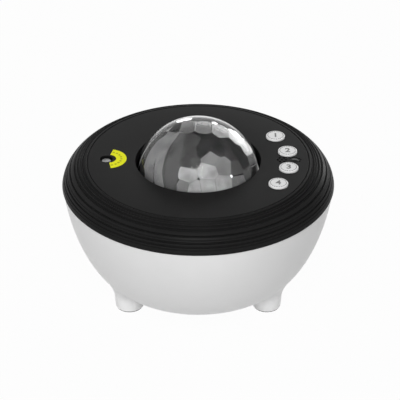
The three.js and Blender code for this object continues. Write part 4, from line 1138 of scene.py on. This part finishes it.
def makeOutlet(black, window):
    place = controls["laser"]["place"]
    seat = outlet["windowBottom"] - outlet["seatGap"]
    outline = [
        (outlet["throat"], outlet["bezelBottom"]),
        (outlet["flange"] - outlet["flangeSlope"], outlet["bezelBottom"]),
        (outlet["flange"], outlet["flangeBottom"]),
        (outlet["flange"], outlet["flangeTop"]),
        (outlet["bezelRadius"], outlet["flangeTop"]),
        (outlet["bezelRadius"], outlet["bezelTop"] - outlet["bezelEdge"]),
        (outlet["bezelRadius"] - outlet["bezelEdge"], outlet["bezelTop"]),
        (outlet["seatRadius"], outlet["bezelTop"]),
        (outlet["seatRadius"], seat),
        (outlet["throat"], seat),
    ]
    addShape("outlet_bezel", lathe(outline, 96, place), black, "case", "black_plastic", "laser_bezel")
    radius = outlet["windowRadius"]
    top = outlet["windowTop"]
    rounding = outlet["windowRound"]
    crown = arc(radius - rounding, top - rounding, rounding, 0, 90, 4)
    pane = [(0, outlet["windowBottom"]), (radius, outlet["windowBottom"]), *crown, (0, top)]
    addShape("outlet_window", lathe(pane, 96, place), window, "case", "frosted_glass", "laser_window")


def sector(radii, turns, heights, place, steps):
    # a flat piece of a ring, between two radii, two angles and two heights
    shape = bmesh.new()
    start, end = turns
    rims = []
    for height in heights:
        for radius in radii:
            rim = []
            for step in range(steps + 1):
                x, y = polar(radius, start + (end - start) * step / steps)
                rim.append(shape.verts.new(((place[0] + x) * mm, (place[1] + y) * mm, height * mm)))
            rims.append(rim)
    near0, far0, near1, far1 = rims
    for step in range(steps):
        shape.faces.new((near1[step], far1[step], far1[step + 1], near1[step + 1]))
        shape.faces.new((near0[step + 1], far0[step + 1], far0[step], near0[step]))
        shape.faces.new((far0[step], far0[step + 1], far1[step + 1], far1[step]))
        shape.faces.new((near0[step + 1], near0[step], near1[step], near1[step + 1]))
    shape.faces.new((near0[0], far0[0], far1[0], near1[0]))
    shape.faces.new((far0[-1], near0[-1], near1[-1], far1[-1]))
    return shape


def joinedShapes(shapes):
    whole = bmesh.new()
    for shape in shapes:
        mesh = meshFrom(shape, "share")
        whole.from_mesh(mesh)
        bpy.data.meshes.remove(mesh)
    return whole


def makeArc(yellow, olive):
    x, y = controls["laser"]["place"]
    place = (x + arcMark["offset"], y)
    start = arcMark["start"]
    base = panel["top"]
    top = base + arcMark["height"]
    radii = (arcMark["inner"], arcMark["outer"])
    film = sector(radii, (start, arcMark["end"]), (base, top), place, arcMark["steps"])
    addShape("arc_film", film, yellow, "case", "arc_yellow", "aperture_decal")
    pitch = (arcMark["end"] - start) / arcMark["dashes"]
    half = pitch * arcMark["dashShare"] / 2
    width = arcMark["dashWidth"]
    radii = (arcMark["dashRadius"] - width / 2, arcMark["dashRadius"] + width / 2)
    heights = (top, top + arcMark["dashHeight"])
    dashes = []
    for number in range(arcMark["dashes"]):
        middle = start + pitch * (number + 0.5)
        dashes.append(sector(radii, (middle - half, middle + half), heights, place, arcMark["dashSteps"]))
    addShape("arc_dashes", joinedShapes(dashes), olive, "case", "arc_yellow")


# Buttons

cap = {
    "top": 90.9,
    "round": 0.55,
    "flangeRadius": 6.8,
    "flangeTop": 87.2,
    "flangeBottom": 86.1,
    "stemRadius": 1.7,
    "stemBottom": 85.1,
    "grooveRadius": 5.05,
    "grooveWidth": 0.4,
    "grooveDepth": 0.3,
    "dashOuter": 4.9,
    "dashInner": 4.55,
    "dashHeight": 0.1,
    "dashSunk": 0.05,
    "dashShare": 0.62,
    "dashes": 20,
    "markSize": 6.4,
    "markWeight": 0.16,
    "markLift": 0.03,
}


def makeButtons(white, dashGrey, markGrey):
    radius = controls["radius"]
    top = cap["top"]
    groove = cap["grooveRadius"]
    rounding = cap["round"]
    outline = [
        (0, cap["stemBottom"]),
        (cap["stemRadius"], cap["stemBottom"]),
        (cap["stemRadius"], cap["flangeBottom"]),
        (cap["flangeRadius"], cap["flangeBottom"]),
        (cap["flangeRadius"], cap["flangeTop"]),
        (radius, cap["flangeTop"]),
        *arc(radius - rounding, top - rounding, rounding, 0, 90, 6),
        (groove + cap["grooveWidth"] / 2, top),
        (groove, top - cap["grooveDepth"]),
        (groove - cap["grooveWidth"] / 2, top),
        (0, top),
    ]
    pitch = 360 / cap["dashes"]
    radii = (cap["dashInner"], cap["dashOuter"])
    heights = (top - cap["dashSunk"], top + cap["dashHeight"])
    for label, place in enumerate(buttonPlaces(), start=1):
        body = f"button_{label}"
        addShape(f"button_cap_{label}", lathe(outline, 96, place), white, body, "white_plastic", body)
        dashes = []
        for dash in range(cap["dashes"]):
            turns = (pitch * dash, pitch * (dash + cap["dashShare"]))
            dashes.append(sector(radii, turns, heights, place, 3))
        addShape(f"button_dashes_{label}", joinedShapes(dashes), dashGrey, body, "white_plastic")
        addPiece(f"button_mark_{label}", numeral(label, place), markGrey, body, "grey_plastic")


def numeral(label, place):
    # a plain number that reads from the front
    words = bpy.data.curves.new("numeral", "FONT")
    words.body = str(label)
    words.size = cap["markSize"] * mm
    words.offset = cap["markWeight"] * mm
    words.align_x = "CENTER"
    words.align_y = "CENTER"
    words.extrude = cap["markLift"] * mm
    holder = newObject("numeral", words)
    graph = bpy.context.evaluated_depsgraph_get()
    mesh = bpy.data.meshes.new_from_object(holder.evaluated_get(graph))
    bpy.data.objects.remove(holder)
    bpy.data.curves.remove(words)
    lift = cap["top"] + cap["markLift"]
    mesh.transform(Matrix.Translation((place[0] * mm, place[1] * mm, lift * mm)))
    mesh.name = f"button_mark_{label}"
    return mesh


# Infrared window between the two middle buttons

eye = {
    "radius": 2.85,
    "flange": 3.25,
    "flangeBottom": 86.55,
    "flangeTop": 87.35,
    "top": 90.25,
    "sag": 0.5,
}


def makeEye(finish):
    sag = eye["sag"]
    ball = (eye["radius"] ** 2 + sag ** 2) / (2 * sag)
    start = math.degrees(math.asin((ball - sag) / ball))
    outline = [
        (0, eye["flangeBottom"]),
        (eye["flange"], eye["flangeBottom"]),
        (eye["flange"], eye["flangeTop"]),
        (eye["radius"], eye["flangeTop"]),
        *arc(0, eye["top"] - ball, ball, start, 90, 10)[:-1],
        (0, eye["top"]),
    ]
    glass = lathe(outline, 72, controls["window"]["place"])
    addShape("eye_window", glass, finish, "case", "dark_glass", "ir_window")


# What stays as the frame has it

innerFinishes = {  # how the names of the nodes start
    "innerBlack": ("chassis", "dome_retainer", "lens_carrier", "power_socket"),
    "innerGrey": ("lens_pinion", "grating_wheel", "grating_pinion"),
    "switchBlack": ("switch_", "ir_receiver"),
    "zincSteel": ("case_screw", "cover_screw", "retainer_screw", "lens_motor", "grating_motor",
                  "speaker_frame", "speaker_magnet"),
    "aluminium": ("heat_sink", "led_board", "microphone"),
    "brass": ("laser_module",),
    "boardGreen": ("button_board", "main_board"),
    "ledResin": ("led_1", "led_2", "led_3", "led_4"),
    "discClear": ("grating_disc",),
    "conePaper": ("speaker_cone",),
}


def dressInside(finishes):
    for finish, starts in innerFinishes.items():
        for name, node in nodes.items():
            if name.startswith(starts):
                for slot in node.material_slots:
                    slot.material = finishes[finish]


placeCamera()
placeLights()
makeStudio()
finishes = makeFinishes()
print("studio and finishes ready")
makeBowl(finishes["bowlWhite"])
makePads(finishes["padRubber"])
print("bowl and feet done")
makeRing(finishes["ringBlack"])
makePanel(finishes["panelBlack"])
print("cover done")
makeDome(finishes["domeClear"])
makeLens(finishes)
print("dome and lens done")
makeOutlet(finishes["ringBlack"], finishes["windowGrey"])
makeArc(finishes["arcYellow"], finishes["arcOlive"])
makeButtons(finishes["buttonWhite"], finishes["dashGrey"], finishes["markGrey"])
makeEye(finishes["darkGlass"])
print("outlet and buttons done")
dressInside(finishes)
